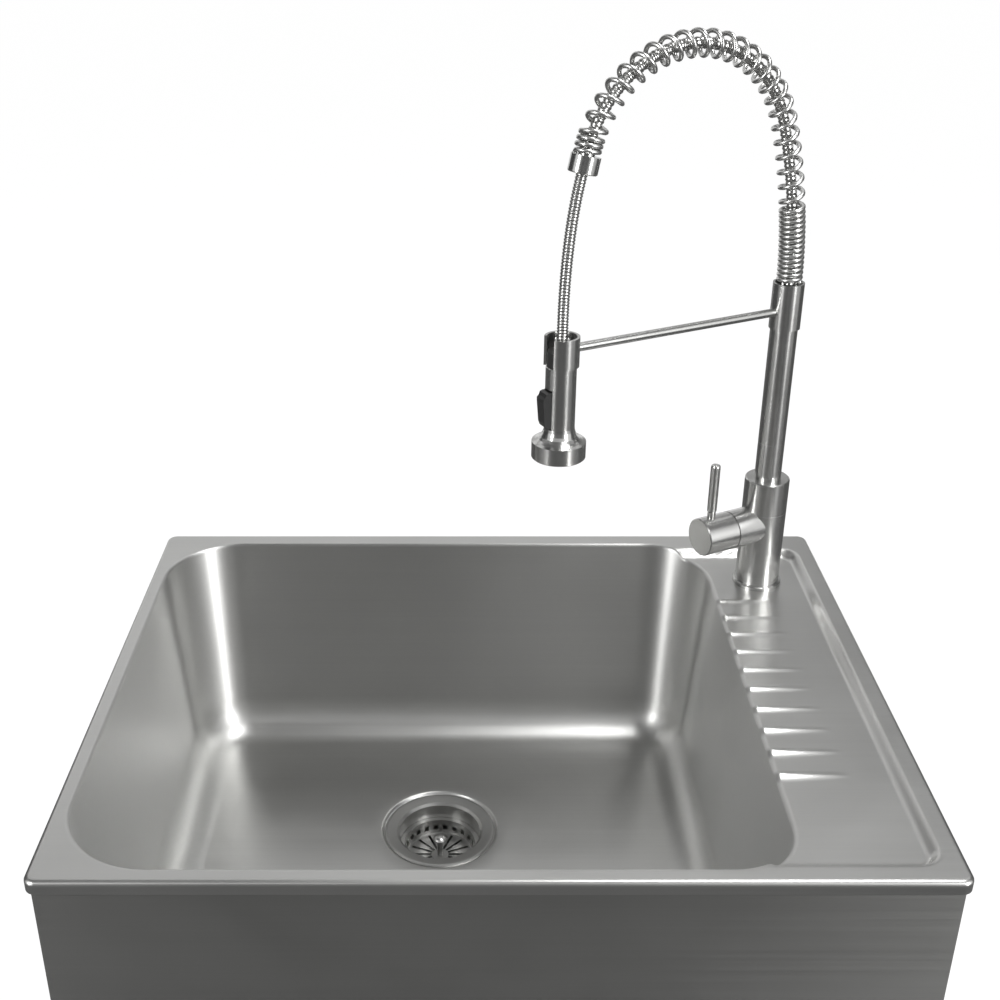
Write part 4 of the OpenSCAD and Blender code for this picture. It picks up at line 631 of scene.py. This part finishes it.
def arch_out(s):
    return Vector((math.cos(arch_turn(s)), 0, math.sin(arch_turn(s))))


def arch_along(s):
    return Vector((math.sin(arch_turn(s)), 0, -math.cos(arch_turn(s))))


RISE_MIDDLE = Vector((RISE_R, 0, SPRING_SEAT))
ARCH_MIDDLE = RISE_MIDDLE + (RISE_R - ARCH_R) * arch_out(RISE_LEN)


def arch_on(s):
    if s < RISE_LEN:
        return RISE_MIDDLE + RISE_R * arch_out(s)
    if s > ARC_LEN:
        return arch_on(ARC_LEN) + (s - ARC_LEN) * arch_along(ARC_LEN)
    return ARCH_MIDDLE + ARCH_R * arch_out(s)


def coil_point(s, a):
    return arch_on(s) + COIL_R * math.cos(a) * arch_out(s) - COIL_R * math.sin(a) * Vector((0, 1, 0))


# %% Wire and hose as bevelled curves


def drawn_tube(name, points, radius, radii=None, sides=3):
    """A round tube along points; radii gives each point's share of the radius."""
    data = bpy.data.curves.new(name, "CURVE")
    data.dimensions = "3D"
    data.bevel_depth = radius
    data.bevel_resolution = sides
    data.use_fill_caps = True
    line = data.splines.new("POLY")
    line.points.add(len(points) - 1)
    for k, p in enumerate(points):
        line.points[k].co = (*p, 1)
        line.points[k].radius = radii[k] if radii else 1.0
    piece = bpy.data.objects.new(name, data)
    bpy.context.scene.collection.objects.link(piece)
    pick(piece)
    bpy.ops.object.convert(target="MESH")
    return bpy.context.object


FOOT = WIRE_D
BEND = 0.75 * WIRE_D
BEND_ANGLES = (22, 45, 68)
BEND_TURN = BEND / COIL_R
HELIX_START, HELIX_END = FOOT + BEND, ARCH_LEN - FOOT - BEND
CLOSE_END = HELIX_START + CLOSE_TURNS * CLOSE_PITCH
OPEN_END = HELIX_END - END_TURNS * END_PITCH
OPEN_PITCH = (OPEN_END - CLOSE_END) / OPEN_TURNS
ALL_TURNS = CLOSE_TURNS + OPEN_TURNS + END_TURNS


def turn_s(n):
    """Distance along the arch after n turns; the pitch changes gently from part to part."""
    if n < CLOSE_TURNS:
        return HELIX_START + n * CLOSE_PITCH
    if n < CLOSE_TURNS + OPEN_TURNS:
        return CLOSE_END + (n - CLOSE_TURNS) * OPEN_PITCH
    return OPEN_END + (n - CLOSE_TURNS - OPEN_TURNS) * END_PITCH


STEPS_A_TURN = 24
wire = [(0, -BEND_TURN), (FOOT * 0.5, -BEND_TURN), (FOOT, -BEND_TURN)]
for b in BEND_ANGLES:
    r = math.radians(b)
    wire.append((FOOT + BEND * math.sin(r), -BEND_TURN * math.cos(r)))
for i in range(ALL_TURNS * STEPS_A_TURN + 1):
    wire.append((turn_s(i / STEPS_A_TURN), 2 * math.pi * i / STEPS_A_TURN))
last_turn = 2 * math.pi * ALL_TURNS
for b in reversed(BEND_ANGLES):
    r = math.radians(b)
    wire.append((ARCH_LEN - FOOT - BEND * math.sin(r), last_turn + BEND_TURN * math.cos(r)))
wire += [(ARCH_LEN - FOOT, last_turn + BEND_TURN), (ARCH_LEN, last_turn + BEND_TURN)]
wire_points = [from_faucet(coil_point(s, a)) for s, a in wire]
spring = drawn_tube("wound_spring", wire_points, WIRE_D / 2 * MM)
smooth(spring, 60)
spring.data.materials.append(wire_steel)
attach(spring, "neck")
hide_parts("spring")
print("spring:", len(spring.data.polygons), "faces")

# %% [markdown]
# The hose is wound from a steel strip, so it shows fine rings. It is drawn like the
# wire, with a radius that falls into a groove between every two rings.

# %% The hose, inside the spring and below it
HOSE_D, HOSE_GROOVE = 10.4, 0.7
HOSE_SINK, FERRULE_LEN = 15.0, 15.0
ARCH_RIBS, DROP_RIBS, STEPS_A_RIB = 110, 50, 6
GROOVE_SHARPNESS = 0.6
hose_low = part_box("hose_drop")[0].z / MM - FAUCET.z
hose_exit = arch_on(ARC_LEN + FERRULE_LEN)
hose_in = Vector((ARM_REACH, 0, hose_low))
drop_start = hose_exit + HOSE_D * arch_along(ARCH_LEN)
drop_end = hose_in + Vector((0, 0, HOSE_D))
DROP_PULL = 40.0
drop_span = (drop_end - drop_start).length


def inner_on(s):
    """A point on the inner hose, which starts a little below the spring."""
    if s < HOSE_SINK:
        return Vector((0, 0, SPRING_SEAT - HOSE_SINK + s))
    return arch_on(s - HOSE_SINK)


def drop_on(s):
    """A point on the lower hose: straight, an easy curve, and straight into its nut."""
    if s < HOSE_D:
        return hose_exit + s * arch_along(ARCH_LEN)
    if s < HOSE_D + drop_span:
        u = (s - HOSE_D) / drop_span
        pull_out = drop_start + DROP_PULL * arch_along(ARCH_LEN)
        pull_in = drop_end + Vector((0, 0, DROP_PULL))
        return ((1 - u) ** 3 * drop_start + 3 * u * (1 - u) ** 2 * pull_out
                + 3 * u * u * (1 - u) * pull_in + u ** 3 * drop_end)
    return drop_end - (s - HOSE_D - drop_span) * Vector((0, 0, 1))


def ribbed(name, on, length, ribs):
    """A hose with rings, drawn with a few points from groove to groove."""
    count = ribs * STEPS_A_RIB
    points, radii = [], []
    for i in range(count + 1):
        swell = 0.5 - 0.5 * math.cos(2 * math.pi * i / STEPS_A_RIB)
        points.append(from_faucet(on(length * i / count)))
        radii.append(1 - HOSE_GROOVE / (HOSE_D / 2) * (1 - swell ** GROOVE_SHARPNESS))
    return drawn_tube(name, points, HOSE_D / 2 * MM, radii, sides=4)


arch_hose = ribbed("arch_hose", inner_on, HOSE_SINK + ARC_LEN + FERRULE_LEN, ARCH_RIBS)
drop_hose = ribbed("drop_hose", drop_on, drop_span + 2 * HOSE_D, DROP_RIBS)
for hose, node in ((arch_hose, "hose_arch"), (drop_hose, "hose_drop")):
    smooth(hose, 80)
    hose.data.materials.append(hose_steel)
    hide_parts(node)
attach(arch_hose, "neck")
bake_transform(drop_hose)
print("hoses:", len(arch_hose.data.polygons), len(drop_hose.data.polygons), "faces")
